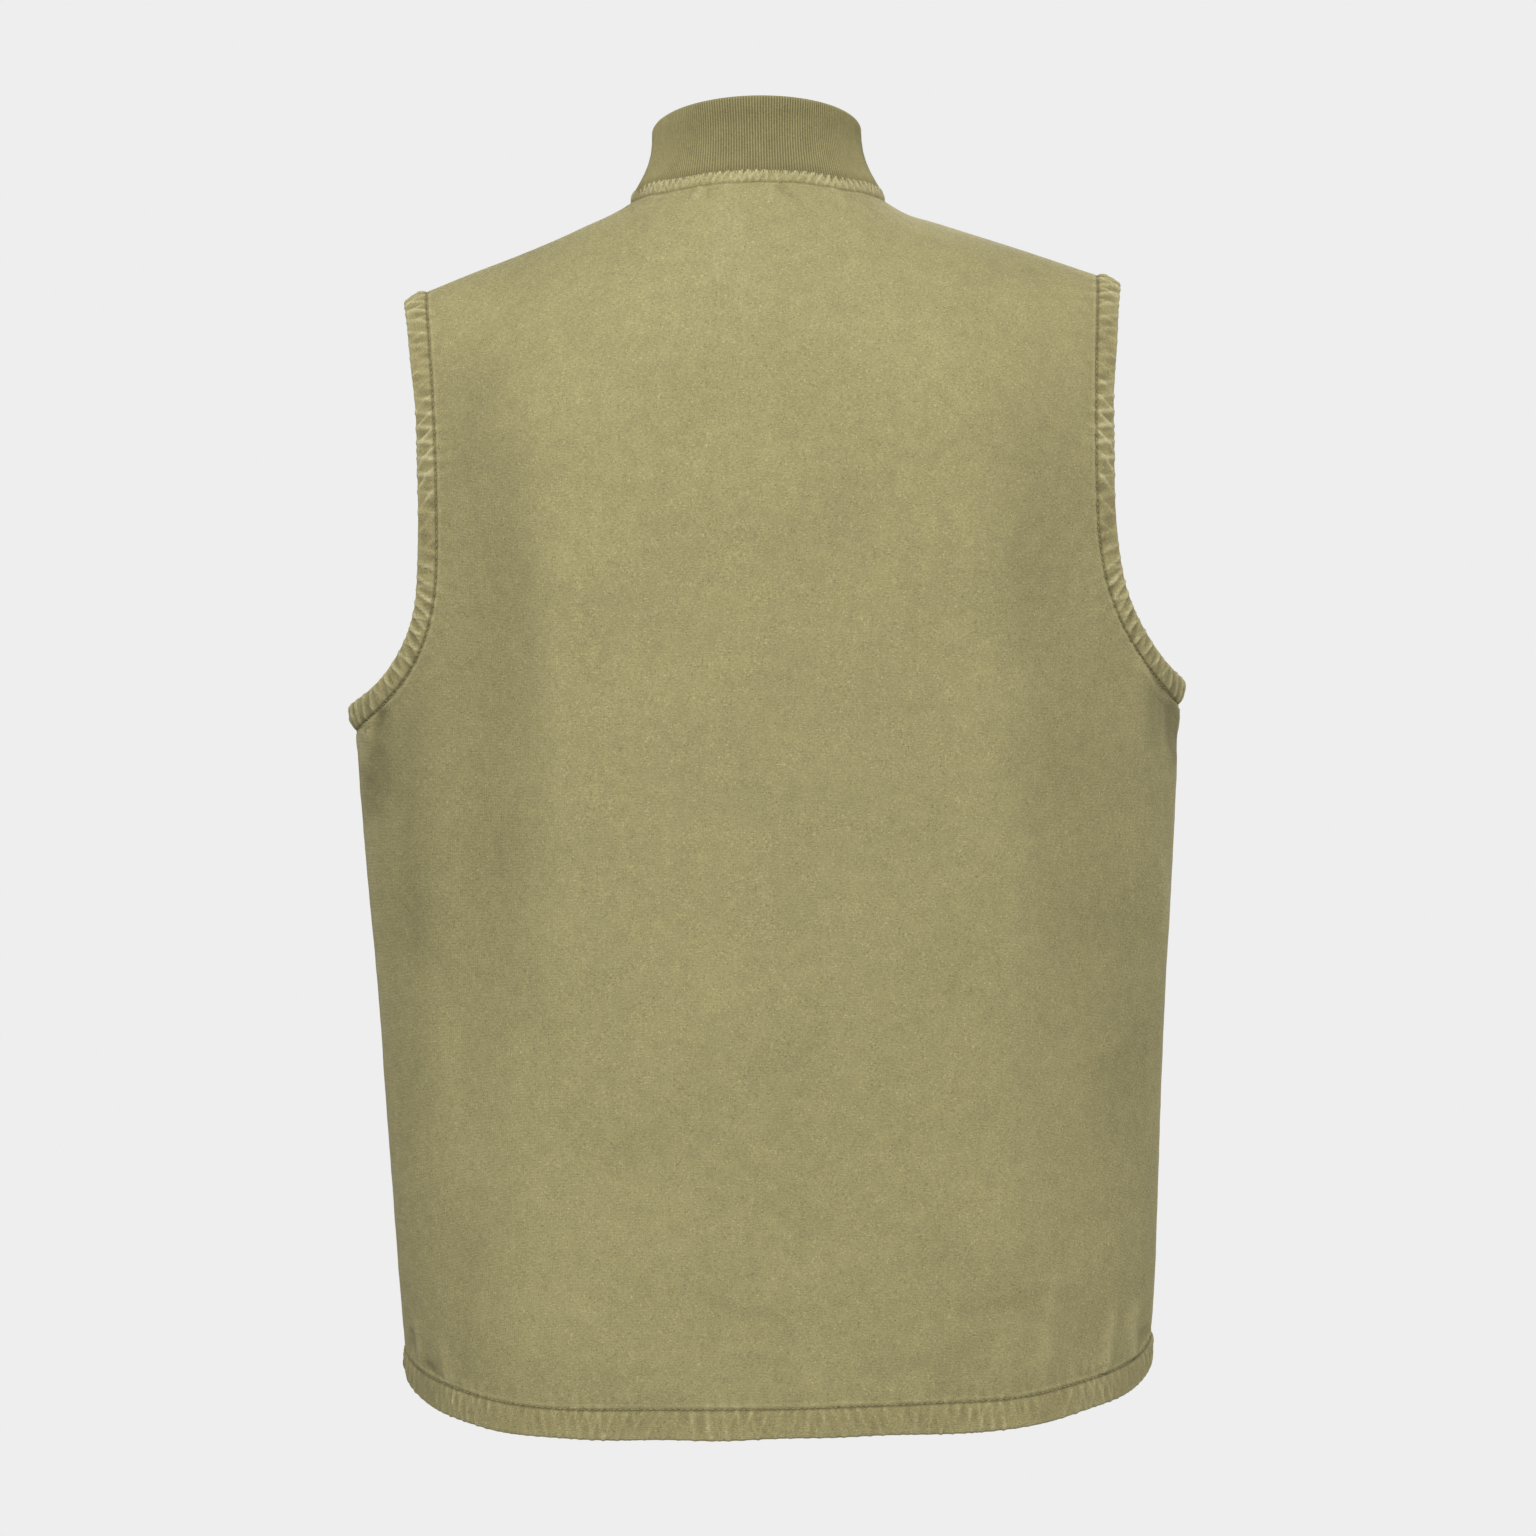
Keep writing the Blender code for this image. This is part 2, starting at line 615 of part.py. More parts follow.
def box(name, size, middle, finish):
    """A box in its own frame, with its size in the mesh."""
    bpy.ops.mesh.primitive_cube_add(size=1)
    made = bpy.context.object
    mesh = made.data
    mesh.name = name
    mesh.transform(Matrix.Translation(Vector(middle) * MM) @ Matrix.Diagonal((*(Vector(size) * MM), 1)))
    bpy.data.objects.remove(made)
    return add_object(name, mesh, finish)


def add_slider():
    """The slider's body with its bail, the bracket that the pull hangs on."""
    wide, deep, long = SLIDER_SIZE
    body = box("zip_slider", SLIDER_SIZE[:1] + (long, deep), (0, 0, deep / 2), "zip_metal")
    bevel = body.modifiers.new("rounded", "BEVEL")
    bevel.width = SLIDER_BEVEL * MM
    bevel.segments = 2
    high = BAIL_STAND + BAIL_THICK
    sunk = 0.6
    bail = box("bail", (BAIL_WIDE, BAIL_LONG, high + sunk), (0, 0, deep + (high - sunk) / 2), "zip_metal")
    window = box("bail_window", (3, BAIL_LONG - 2 * BAIL_THICK, BAIL_STAND), (0, 0, deep + BAIL_STAND / 2), "zip_metal")
    place_on_zip = zip_place(SLIDER_BELOW_TOP, CHAIN_PROUD[0] + PIECE_GAP)
    for piece in (body, bail, window):
        piece.matrix_world = place_on_zip
    cut = bail.modifiers.new("window", "BOOLEAN")
    cut.operation, cut.object = "DIFFERENCE", window
    join = body.modifiers.new("bail", "BOOLEAN")
    join.operation, join.object = "UNION", bail
    for helper in (bail, window):
        bpy.data.collections["canvas_vest"].objects.unlink(helper)
        bpy.data.collections["cutters"].objects.link(helper)
        helper.hide_render = True
        helper.display_type = "WIRE"


def pull_outlines():
    """The pull's outer edge and its eye's edge, point for point, seen flat: square above, round below."""
    top = PULL_BAR / 2
    wide_top, wide_low = PULL_TOP_WIDE / 2, PULL_LOW_WIDE / 2
    round_z = top - PULL_LONG + wide_low
    eye_x, eye_low = PULL_EYE[0] / 2, -top - PULL_EYE[1]
    outer = [(wide_top, top), (wide_top, -top), (wide_top, eye_low), (wide_low, round_z)]
    eye = [(eye_x, -top), (eye_x, -top - PULL_EYE[1] * 0.3), (eye_x, eye_low * 0.8), (eye_x, eye_low)]
    for step in range(1, PULL_ROUND_STEPS):
        turn = math.pi * step / PULL_ROUND_STEPS
        outer.append((wide_low * math.cos(turn), round_z - wide_low * math.sin(turn)))
        eye.append((eye_x * (1 - 2 * step / PULL_ROUND_STEPS), eye_low))
    outer += [(-x, y) for x, y in reversed(outer[:4])]
    eye += [(-x, y) for x, y in reversed(eye[:4])]
    return np.array(outer), np.array(eye)


def add_pull():
    """The pull tab: a flat plate with an eye, hanging by the bar above the eye. Its origin is the pivot."""
    outer, eye = pull_outlines()
    corners = []
    for outline, height in ((eye, -1), (outer, -1), (outer, 1), (eye, 1)):
        corners.append(np.column_stack([outline, np.full(len(outline), height * PULL_THICK / 2)]))
    piece = closed_grid("zip_pull", np.stack(corners, axis=1), "zip_metal", ring=True)
    piece.matrix_world = pull_frame()


def pull_frame():
    """The pivot's frame: inside the bail, just above its lower leg."""
    bar_reach = math.hypot(PULL_BAR / 2, PULL_THICK / 2)
    below_middle = BAIL_LONG / 2 - BAIL_THICK - bar_reach - PIECE_GAP
    face = CHAIN_PROUD[0] + PIECE_GAP + SLIDER_SIZE[1]
    frame = zip_place(SLIDER_BELOW_TOP, face + BAIL_STAND / 2)
    return frame @ Matrix.Translation((0, -below_middle * MM, 0))


# ------------------------------------------------------------------ main
def clear_scene():
    for old in list(bpy.data.objects):
        bpy.data.objects.remove(old)
    for name in ("canvas_vest", "cutters"):
        bpy.context.scene.collection.children.link(bpy.data.collections.new(name))


def main():
    clear_scene()
    add_back_panel()
    for side_name in SIDES:
        add_front_panel(side_name)
        add_armhole_band(side_name)
    add_hem_band("hem_band_back", "back", ("right", "left"))
    for side_name in SIDES:
        add_hem_band(f"hem_band_front_{side_name}", "front", (side_name,))
    add_neck_band()
    add_collar()
    add_zip_strips()
    add_slider()
    add_pull()
    bpy.context.view_layer.update()


main()
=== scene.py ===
"""The looks of the canvas vest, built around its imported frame.

Sizes are in millimetres, and the meshes are written in metres. The vest faces -Y and +Z is up, as in the
frame. The cloth pieces repeat the frame's own form from the same named sizes, with folds, puckers,
stitches, ribs and zip teeth added.
"""

import math

import bpy
import numpy as np
from mathutils import Matrix, Vector


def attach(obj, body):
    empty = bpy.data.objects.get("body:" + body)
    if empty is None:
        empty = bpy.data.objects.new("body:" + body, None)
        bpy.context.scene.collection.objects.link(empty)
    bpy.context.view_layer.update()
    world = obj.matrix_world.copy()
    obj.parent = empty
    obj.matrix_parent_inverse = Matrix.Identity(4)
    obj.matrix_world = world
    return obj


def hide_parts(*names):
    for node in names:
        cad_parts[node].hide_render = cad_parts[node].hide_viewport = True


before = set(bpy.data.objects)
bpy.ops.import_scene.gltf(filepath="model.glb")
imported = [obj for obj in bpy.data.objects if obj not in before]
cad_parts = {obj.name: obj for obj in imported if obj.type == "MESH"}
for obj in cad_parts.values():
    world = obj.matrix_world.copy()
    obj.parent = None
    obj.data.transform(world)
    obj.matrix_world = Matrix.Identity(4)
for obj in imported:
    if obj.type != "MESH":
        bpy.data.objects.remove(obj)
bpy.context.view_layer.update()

MM = 0.001

# --- the frame's sizes
SEAM_GAP = -0.2  # below 0 the panels' edges overlap in a side or shoulder seam
FRONT_UNDER = 0.14  # and the front's edge lies this much lower
WAY = {"back": 1, "front": -1}  # each face's side of the shoulder line, along y
SIDE_ROUND = 0.54  # below 1, the lower this is the blunter each side turns
BACK_CROWN = 3.0  # how much flatter than its middle the back lies where it turns to the side
SHOULDER_DROP = {"back": 128.0, "front": 118.0}  # height over which each rounds off the shoulder line
RIDGE_ROUND = 12.0  # rounds the form over the middle of the neck
MIDDLE_BLEND = 120.0  # the width over which the left half's sizes turn into the right half's
NECK_HALF = 72.0  # half width of the panels' neck edge
NECK_CUT = {"back": 28.0, "front": 114.0}  # neck edge below the shoulder ridge, in the middle
HEM_SIDE = -641.0  # lower edge of the panels at the side seams
HEM_DIP = 19.7  # how much lower that edge is at centre back and centre front
HEM_LEVEL = 0.06  # share of the way round from each side seam that the edge stays level
HEM_CURVE = 0.6  # how soon it drops beyond that
FRONT_EDGE = 9.0  # from the zip's middle line to a front's edge
INNER_EDGE = {"back": 0.0, "front": FRONT_EDGE}  # from the middle to a panel's first column
FRONT_ENDS = ((-1, 0, 0), (-1, 0, 0))  # the way the neck edge and collar run at their two ends
PROBE = 0.05  # the step over which the form's slope is read
FOLD_FADES = (70, 90)  # height over which a fold begins, and runs out below its end
FOLD_AT_SEAM = 6  # how soon, in from a side seam, a fold is at its full height

# One level of the body a row, hem to neck: height, half width at the sides, depth of the back and of the
# front, how far from the middle the cloth turns away to the side and how rounded the edge is there.
LEVELS = {
    "height": (-690, -600, -520, -440, -360, -300, -245, -190, -140, -90, -40, 20, 60),
    "half_width": (207.5, 213.8, 218.4, 223.2, 229, 232.3, 233, 233, 233, 233, 233, 233, 233),
    "back": (132, 127, 122.5, 119.5, 118, 117.5, 117, 115.5, 111, 106, 99, 93, 90),
    "front": (133, 129.5, 127, 125, 123.5, 122, 119, 112, 99, 79, 62, 50, 46),
    "turn_left": (132, 124, 114, 107, 104, 104, 104, 105, 107, 110, 112, 112, 112),
    "turn_right": (130, 122, 118, 117, 117, 117, 117, 118, 119, 120, 120, 120, 120),
    "turn_front": (128, 126, 124, 122, 120, 118, 116, 114, 112, 110, 108, 106, 106),
    "soft_left": (16, 13, 10, 7, 6, 6, 6, 6.5, 7, 8, 9, 9, 9),
    "soft_right": (16, 14, 12, 11, 10, 10, 10, 10, 10, 10, 10, 10, 10),
    "soft_front": (16, 14, 12, 11, 10, 10, 10, 10, 10, 10, 10, 10, 10),
}

# The shoulder line, by distance from the middle. Inside the neck it goes on as the top of the form.
SHOULDER_LINE = {
    "distance": (0, 30, 50, 62, 72, 84, 100, 140, 165, 190, 205),
    "left": (35, 28, 17.5, 10, 2.2, -5, -12.2, -27.8, -37, -46.8, -53),
    "right": (35, 27.5, 16.5, 8.7, 0.7, -6.8, -12.2, -25.7, -34.2, -43, -48.5),
}

# One side a row. Tip: outer end of the shoulder seam. Waist: where the armhole is cut in furthest, its
# height shared by both. Curl: how late the armhole swings out to the side seam.
SIDES = {
    "left": {"sign": 1, "tip": 188.0, "back_waist": 179.5, "front_waist": 166.0, "underarm": -293.5,
             "back_curl": 3.8, "front_curl": 3.4},
    "right": {"sign": -1, "tip": 191.0, "back_waist": 183.3, "front_waist": 168.0, "underarm": -287.5,
              "back_curl": 2.8, "front_curl": 3.0},
}
ARMHOLE_WAIST = -168.0

# The frame's soft folds, one a row: where each begins and ends (x and height), its half width and how far
# it stands out. A trough is below zero.
BACK_FOLDS = (
    # from_x, from_z, to_x, to_z, half_width, out
    (118, -150, 106, -480, 16, 2.6),
    (158, -215, 172, -520, 22, -4.2),
    (-122, -160, -128, -560, 20, 2.0),
    (-168, -300, -160, -640, 24, -3.4),
    (-205, -300, -214, -345, 9, 1.8),
    (60, -470, 70, -700, 34, -2.0),
    (-40, -430, -64, -700, 36, -2.2),
    (-112, -590, -84, -700, 22, -2.4),
)
FRONT_FOLDS = (
    (112, -175, 118, -470, 20, 2.4),
    (158, -250, 166, -560, 24, -3.6),
    (-116, -170, -120, -500, 20, 2.2),
    (-162, -270, -158, -600, 24, -3.4),
    (58, -450, 66, -700, 30, -2.4),
    (-52, -430, -66, -700, 32, -2.4),
)
FOLDS = {"back": BACK_FOLDS, "front": FRONT_FOLDS}

# Cross-section of each band: how far out from the panel's edge, and how far proud of the panel's face.
ARMHOLE_SECTION = {
    "out": (0.3, 3.5, 8.5, 12.2, 13.6, 12.4, 8.0, 0.3),
    "proud": (0.1, 1.2, 1.3, 0.5, -1.0, -2.4, -2.7, -1.9),
}
HEM_SECTION = {
    "out": (0.3, 4.0, 11.0, 15.0, 16.0, 15.2, 9.0, 0.3),
    "proud": (0.1, 1.0, 1.2, 0.6, -0.8, -2.1, -2.5, -1.9),
}
NECK_SECTION = {
    "out": (0.3, 2.4, 4.6, 6.4, 6.4, 0.3),
    "proud": (0.1, 1.1, 1.2, 0.4, -1.7, -1.9),
}
NECK_STAND = 4.6  # how far the neck strip stands up, where the cloth below it lies flat
UNDERARM_FLARE = 3.6  # how far the armhole band leans out under the arm
UNDERARM_REACH = 38.0  # along the armhole, each way, that the lean fades over

RIB = 3.4  # the collar's rib knit, folded double
CLOTH_SOLID = 1.8  # the frame's canvas wall, which the collar's seam is centred on
COLLAR_TOP_HALF = 57.0
COLLAR_TOP_BACK = 56.0
COLLAR_TOP_FRONT = 52.0
COLLAR_SIDE_HEIGHT = 41.5  # top edge over the shoulder line
COLLAR_BACK_RISE = 11.0
COLLAR_FRONT_FALL = 64.0
COLLAR_BELLY = 4.4  # how much the collar's side bows out between its seam and its top
PIECE_GAP = 0.3

ZIP_BELOW_PANEL = 12.0  # how far the zip runs on below the fronts' own edge, beside the hem band
CHAIN_PROUD = (0.8, -1.6)  # front and back of the chain, from the cloth's outer face
CHAIN_BELOW_TOP = 8.0
TAPE_PROUD = (-0.4, -1.4)
TAPE_BELOW_TOP = 3.0
BOX_LONG = 10.0

# --- sizes of the looks
CLOTH = 1.2  # canvas wall as it shows
HALF_COLUMNS = 86  # of a panel, middle to side
BODY_ROWS = 150  # hem to underarm
CHEST_ROWS = 104  # underarm to shoulder
EDGE_STEPS = (0.5, 1.2, 2.2, 3.6, 5.4)  # extra rows and columns this far in from a sewn edge
EDGE_SAMPLES = 500  # points read along a sewn edge before it is evenly spaced
SMOOTH_OVER = 9  # of those points, each way, that an edge's normals are evened out over
EDGE_SPACING = 1.3
NECK_SPACING = 0.8
SIDE_SPAN = 250.0  # millimetres of cloth to a whole step of across, at the side seam
BODY_SPAN = 355.0  # the same up the body, and up the chest
CHEST_SPAN = 250.0
GRAIN_TURN = 0.35  # how far the grain runs on where the cloth turns away to the side
FAR = 1e3  # beyond the reach of a seam
AT_ONCE = 4000  # points whose nearest seam is looked for together

# How far from a seam its effects reach: all of them, the calm cloth, the strip clear of fine creases and
# the start of the gathers.
SEAM_REACH = {"all": 34.0, "calm": 26.0, "clear": 3.0, "gather": 1.5}
# The stitched ditch beside a band, with painted shade in it as a dark line and a painted highlight as a light
# rim beside it.
DITCH = {
    "deep": 0.65, "wide": 0.9, "dark": 0.60, "dark_wide": 0.8,
    "light": 0.24, "light_in": 2.2, "light_wide": 0.9,
}
DITCH_SHARE = {"side": 0.5, "shoulder": 0.5, "neck": 0.35}
ZIP_STITCH = {"in": 6.5, "wide": 0.9, "deep": 0.35, "tone": 0.2}  # in: from a front's edge; tone: painted shade in its stitched ditch
# How strongly each kind of relief shows as light and shade.
SHADE = {
    "gather": 0.42, "fold": 0.03, "fine": 0.26, "fine_floor": -0.7, "crumple": 0.16,
    "band_seam": 0.50, "band_rim": 0.16, "rib": 0.42, "rib_seam": 0.35,
}

# Finer creases of the cloth, each a row: where it begins, bows through and ends (x and height), its half
# width and how far it stands out.
BACK_CREASES = (
    # from_x, from_z, mid_x, mid_z, to_x, to_z, half_width, out
    (110, -70, 113, -230, 106, -480, 15, 1.1),
    (142, -100, 150, -260, 154, -480, 23, -3.0),
    (198, -215, 207, -320, 204, -450, 15, -2.8),
    (176, -330, 182, -450, 176, -600, 12, 1.0),
    (-108, -120, -112, -330, -116, -600, 14, 1.0),
    (-146, -110, -158, -290, -176, -540, 22, -2.7),
    (-203, -170, -207, -260, -206, -350, 9, 1.3),
    (221, -318, 214, -350, 219, -398, 6, 0.9),
    (226, -396, 220, -430, 223, -486, 7, -0.9),
    (-212, -262, -222, -282, -229, -318, 4.5, -2.3),
    (-221, -258, -229, -280, -234, -312, 3.5, 1.3),
    (214, -282, 217, -288, 221, -297, 2.4, -1.6),
    (219, -281, 222, -290, 228, -303, 2.6, 1.9),
    (224, -286, 226, -296, 230, -306, 2.2, -1.3),
    (219, -300, 218, -316, 216, -336, 4.6, -1.0),
    (226, -318, 222, -326, 218, -334, 3.2, -0.7),
    (-205, -262, -214, -276, -228, -290, 3.2, 1.5),
    (-192, -360, -202, -440, -190, -560, 16, -1.8),
    (-219, -360, -222, -392, -221, -430, 2.4, 0.9),
    (-199, -612, -196, -636, -199, -662, 3.4, 1.3),
    (-186, -612, -181, -638, -176, -668, 2.6, 1.3),
    (-206, -632, -206, -644, -212, -656, 4.4, -2.0),
    (-150, -590, -146, -622, -140, -664, 4.0, 0.8),
    (205, -626, 203, -634, 206, -644, 2.4, -1.5),
    (185, -624, 181, -648, 177, -670, 2.2, 1.0),
    (199, -618, 199, -640, 197, -660, 2.2, 1.1),
    (196, -640, 192, -652, 197, -664, 4.0, -1.6),
    (176, -560, 170, -610, 176, -650, 9, -1.0),
    (-76, -560, -92, -620, -106, -672, 12, -1.5),
    (-130, -610, -122, -644, -128, -672, 8, 0.9),
    (28, 7, 31, 1, 37, -7, 2.0, 1.7),
    (25, 7, 27, 1, 30, -7, 1.8, -1.5),
    (17, 7, 16, 0, 13, -8, 2.2, 0.9),
    (-12, 7, -14, 1, -17, -7, 2.2, -1.4),
    (-4, 7, -6, 0, -8, -10, 2.6, 1.0),
    (-40, 5, -44, -3, -50, -14, 3.2, 0.8),
    (22, 6, 20, -18, 24, -60, 5, 0.5),
    (-4, 6, -8, -22, -4, -74, 6, -0.4),
    (8, 6, 10, -24, 6, -90, 5, 0.4),
    (120, -18, 132, -40, 138, -88, 12, -1.0),
    (-150, -30, -160, -52, -152, -110, 12, -1.1),
    (-98, -14, -104, -60, -96, -130, 12, 0.6),
    (40, -500, 52, -590, 44, -680, 20, 0.9),
    (0, -480, -8, -580, 4, -684, 24, -0.8),
)
FRONT_CREASES = (
    (150, -70, 152, -150, 166, -232, 12, -1.4),
    (-148, -70, -150, -150, -168, -232, 12, -1.3),
    (200, -250, 209, -300, 213, -380, 8, -1.5),
    (-201, -246, -210, -300, -214, -372, 8, -1.6),
    (186, -300, 188, -400, 178, -520, 12, 1.0),
    (-187, -320, -190, -420, -178, -540, 12, 1.0),
    (196, -618, 193, -640, 198, -662, 4, -1.4),
    (-198, -612, -195, -640, -200, -662, 4, -1.3),
    (92, -540, 84, -610, 92, -670, 11, -1.1),
    (-96, -530, -88, -600, -94, -670, 11, -1.2),
    (58, -70, 64, -120, 62, -190, 13, -0.8),
    (-60, -72, -66, -122, -62, -190, 13, -0.8),
    (30, -300, 26, -360, 32, -430, 10, 0.7),
    (-28, -200, -25, -270, -32, -350, 10, 0.6),
)
CREASES = {"back": BACK_CREASES, "front": FRONT_CREASES}

SIDE_PAINTED_LIGHT = {"reach": 22.0, "tone": 0.40}  # painted light on the cloth beside the side seams, where it turns away from the lamps
FINE_CREASE = 5.0  # half width up to which a crease counts as fine
CREASE_FADE = 0.3  # share of its length over which a crease fades at each end

CRUMPLE_FADE = 0.35
CRUMPLE_WANDER = 2.5  # how far a crumple strays from its straight line

# Crumples left by washing, which run across: the same kinds of columns without a middle.
BACK_CRUMPLES = (
    # from_x, from_z, to_x, to_z, half_width, out
    (-176, -596, -112, -604, 5.0, 0.45),
    (-150, -614, -84, -611, 4.2, -0.45),
    (-60, -586, 22, -594, 5.5, 0.40),
    (-26, -612, 58, -606, 4.5, -0.45),
    (-12, -628, 44, -634, 3.6, 0.40),
    (30, -578, 104, -570, 5.0, 0.35),
    (52, -640, 118, -650, 4.4, -0.50),
    (84, -616, 150, -604, 4.8, 0.40),
    (112, -656, 160, -640, 4.0, 0.45),
    (-92, -640, -30, -650, 4.2, -0.40),
    (-196, -560, -150, -574, 4.6, -0.45),
    (-206, -470, -160, -486, 5.2, 0.40),
    (-60, -520, 20, -512, 6.0, -0.30),
    (-40, -330, 40, -322, 7.0, 0.25),
    (-90, -150, -20, -142, 6.0, 0.25),
    (40, -92, 112, -84, 6.5, -0.25),
)
FRONT_CRUMPLES = (
    (60, -600, 130, -608, 5.0, 0.45),
    (40, -626, 110, -618, 4.2, -0.45),
    (-130, -606, -56, -598, 5.0, 0.45),
    (-116, -632, -50, -640, 4.2, -0.45),
    (150, -560, 190, -572, 4.8, -0.40),
    (-192, -566, -148, -556, 4.8, -0.40),
    (30, -420, 100, -428, 6.5, 0.30),
    (-96, -380, -30, -388, 6.5, -0.30),
)
CRUMPLES = {"back": BACK_CRUMPLES, "front": FRONT_CRUMPLES}

# Painted light and shade in soft patches over the cloth: darker where it turns away to the sides and in the
# hollows and tucks under the arms and by the hem, lighter in a few broad patches. Each row: the middle of a
# patch, its half width and half height, and its tone.
BACK_PAINTED_LIGHT_SHADE = (
    # x, z, half_width, half_height, tone
    (156, -260, 36, 180, -0.16),
    (198, -380, 24, 130, -0.18),
    (202, -560, 28, 100, -0.05),
    (165, -604, 36, 58, -0.10),
    (100, -652, 30, 14, -0.12),
    (219, -317, 8, 26, -0.34),
    (227, -328, 5, 14, -0.30),
    (215, -288, 4, 8, -0.45),
    (227, -298, 4, 9, 0.25),
    (-230, -300, 5, 24, -0.75),
    (-214, -290, 5, 20, -0.25),
    (158, -124, 24, 38, -0.14),
    (128, -34, 36, 22, -0.14),
    (-148, -36, 36, 19, -0.16),
    (-150, -190, 32, 90, -0.10),
    (-186, -360, 32, 150, -0.13),
    (-192, -520, 26, 60, -0.10),
    (-165, -634, 48, 34, -0.14),
    (-104, -656, 32, 18, -0.14),
    (0, -70, 120, 60, 0.10),
    (62, -260, 38, 150, 0.06),
    (94, -560, 30, 80, 0.06),
)
FRONT_PAINTED_LIGHT_SHADE = (
    (150, -300, 34, 170, -0.16),
    (200, -400, 26, 160, -0.22),
    (-150, -300, 34, 170, -0.16),
    (-200, -400, 26, 160, -0.22),
    (60, -120, 50, 50, 0.08),
    (-60, -120, 50, 50, 0.08),
)
PAINTED_LIGHT_SHADE = {"back": BACK_PAINTED_LIGHT_SHADE, "front": FRONT_PAINTED_LIGHT_SHADE}

# Broad unevenness of the cloth: waves by their length, the way they run in degrees and how far they move
# it. Start shifts the wave.
SWELLS = (
    # length, way, start, out
    (210, 15, 0.4, 0.55),
    (150, 82, 1.9, 0.45),
    (118, -28, 3.1, 0.40),
    (84, 64, 0.9, 0.26),
    (67, -71, 5.0, 0.22),
    (49, 24, 2.2, 0.14),
    (37, -12, 4.1, 0.09),
)
SWELL_SHIFT = {"back": 0.0, "front": 2.1}

# Puckers along each sewn edge: the distance between them, how far they slant, how high they stand on the
# band and on the cloth beside it, how far into that they reach, how much lighter the band is, and how
# strong the painted light on its ridges and the painted shade in its valleys are.
PUCKER_COLUMNS = ("pitch", "slant", "on_band", "on_cloth", "reach", "light", "contrast")
PUCKER_ROWS = {
    "armhole": (8.8, 0.55, 1.25, 0.70, 7.0, 0.12, 0.80),
    "hem": (6.8, 0.55, 0.80, 0.60, 9.0, 0.0, 0.36),
    "neck": (4.4, 0.70, 0.80, 0.75, 6.0, 0.26, 0.5),
    "side": (27.0, 0.0, 0.0, 0.25, 9.0, 0.0, 0.0),
    "zip": (13.0, 0.0, 0.0, 0.45, 7.0, 0.0, 0.0),
}
PUCKERS = {kind: dict(zip(PUCKER_COLUMNS, row)) for kind, row in PUCKER_ROWS.items()}

# A gathered edge has three runs of ridges that cross each other: each one's pitch and slant as shares of the
# edge's own, where it starts, how high it stands and how wide each ridge is.
GATHERS = (
    # pitch, slant, start, high, wide
    (1.00, 1.0, 0.00, 1.15, 0.42),
    (1.23, -1.1, 0.37, 0.95, 0.30),
    (0.71, 0.4, 0.71, 0.45, 0.50),
)
GATHER_FLOOR = -0.5  # the valleys between the ridges
# Waves along an edge, each with its height, length and start. They move the ridges, turn them and change
# their height; the first and last kinds' lengths are shares of the pitch.
GATHER_DRIFT = ((0.30, 2.3, 1.3), (0.40, 5.1, 0.0))
GATHER_TURN = (0.7, 31.0, 9)
GATHER_HIGH = (0.38, 1.73, 20)
BAND_WANDER = ((0.35, 23.0, 0.0), (0.25, 9.7, 1.0))  # and these move a band's outer edge

# A band's upper side, and how it swells between its edges, by the share of its width.
BAND = {"upper": 1.3, "upper_from": 0.15, "swell": 0.9, "swell_from": 0.08, "swell_power": 0.6, "push": 0.35}
BAND_RIDGE_SHADING = {"mean": 0.85, "high": 0.30, "long": 4.7, "slant": 5.0, "outer": 0.35}  # how the painted light and shade of its ridges varies along it and fades outward
BAND_RIM = (0.93, 0.16)  # place and half width of the painted highlight along its outer edge
RIB_PITCH = 1.55  # at the collar's seam
RIB_PROUD = 0.42
RIB_STEPS = 6  # points across a rib
RIB_AT_SEAM = {"share": 0.5, "wide": 3.0, "dark_wide": 1.6}  # the ribs flatten at the seam, with painted shade there
COLLAR_ROWS = 13
COLLAR_FOLD_STEPS = 5
COLLAR_TUCK = 2.8  # of the rib, turned in behind the neck strip
COLLAR_MEAN = 41.0  # mean height of the stand
BAND_AROUND = 26  # points round a band

# First: from an edge's end to its first stitch. Dip: how far a stitch's ends go into the cloth. Inward:
# from the seam into the panel. Height: of its middle, off the panel's face.
STITCH = {
    "long": 2.3, "pitch": 3.3, "thick": 0.28, "first": 0.6,
    "dip": 0.45, "inward": 0.35, "height": -0.15,
}
STITCH_SIDES = 6
STITCH_RINGS = 5

ZIP_STATIONS = (60, 8)  # steps of the zip's line up the front's edge and up the collar
ZIP_COLLAR_SPACING = 6.0
TOOTH = {"pitch": 2.5, "long": 1.15, "bevel": 0.12, "flat": 0.8}
# A tooth seen from the front, to the wearer's left: sideways from the middle, and along the zip.
TOOTH_SHAPE = (
    (2.55, -0.58), (1.0, -0.5), (0.2, -0.34), (-0.45, -0.42), (-0.6, 0.0),
    (-0.45, 0.42), (0.2, 0.34), (1.0, 0.5), (2.55, 0.58),
)
TAPE_STEP = 2.0
TAPE_TOP, TAPE_UNDER, TAPE_BEHIND = TAPE_PROUD[0], TAPE_PROUD[1], TAPE_PROUD[0] - CLOTH - 0.2
# A tape's cross-section: sideways from the middle, and out from the cloth's face.
TAPE_SHAPE = (
    (0.03, TAPE_TOP - 0.3), (2.9, TAPE_TOP), (3.4, TAPE_TOP + 0.12), (5.8, TAPE_TOP + 0.1), (8.2, TAPE_TOP),
    (8.7, TAPE_BEHIND), (11.6, TAPE_BEHIND), (11.6, TAPE_BEHIND - 0.5), (8.3, TAPE_BEHIND - 0.5),
    (5.8, TAPE_UNDER), (2.9, TAPE_UNDER), (0.03, TAPE_UNDER),
)
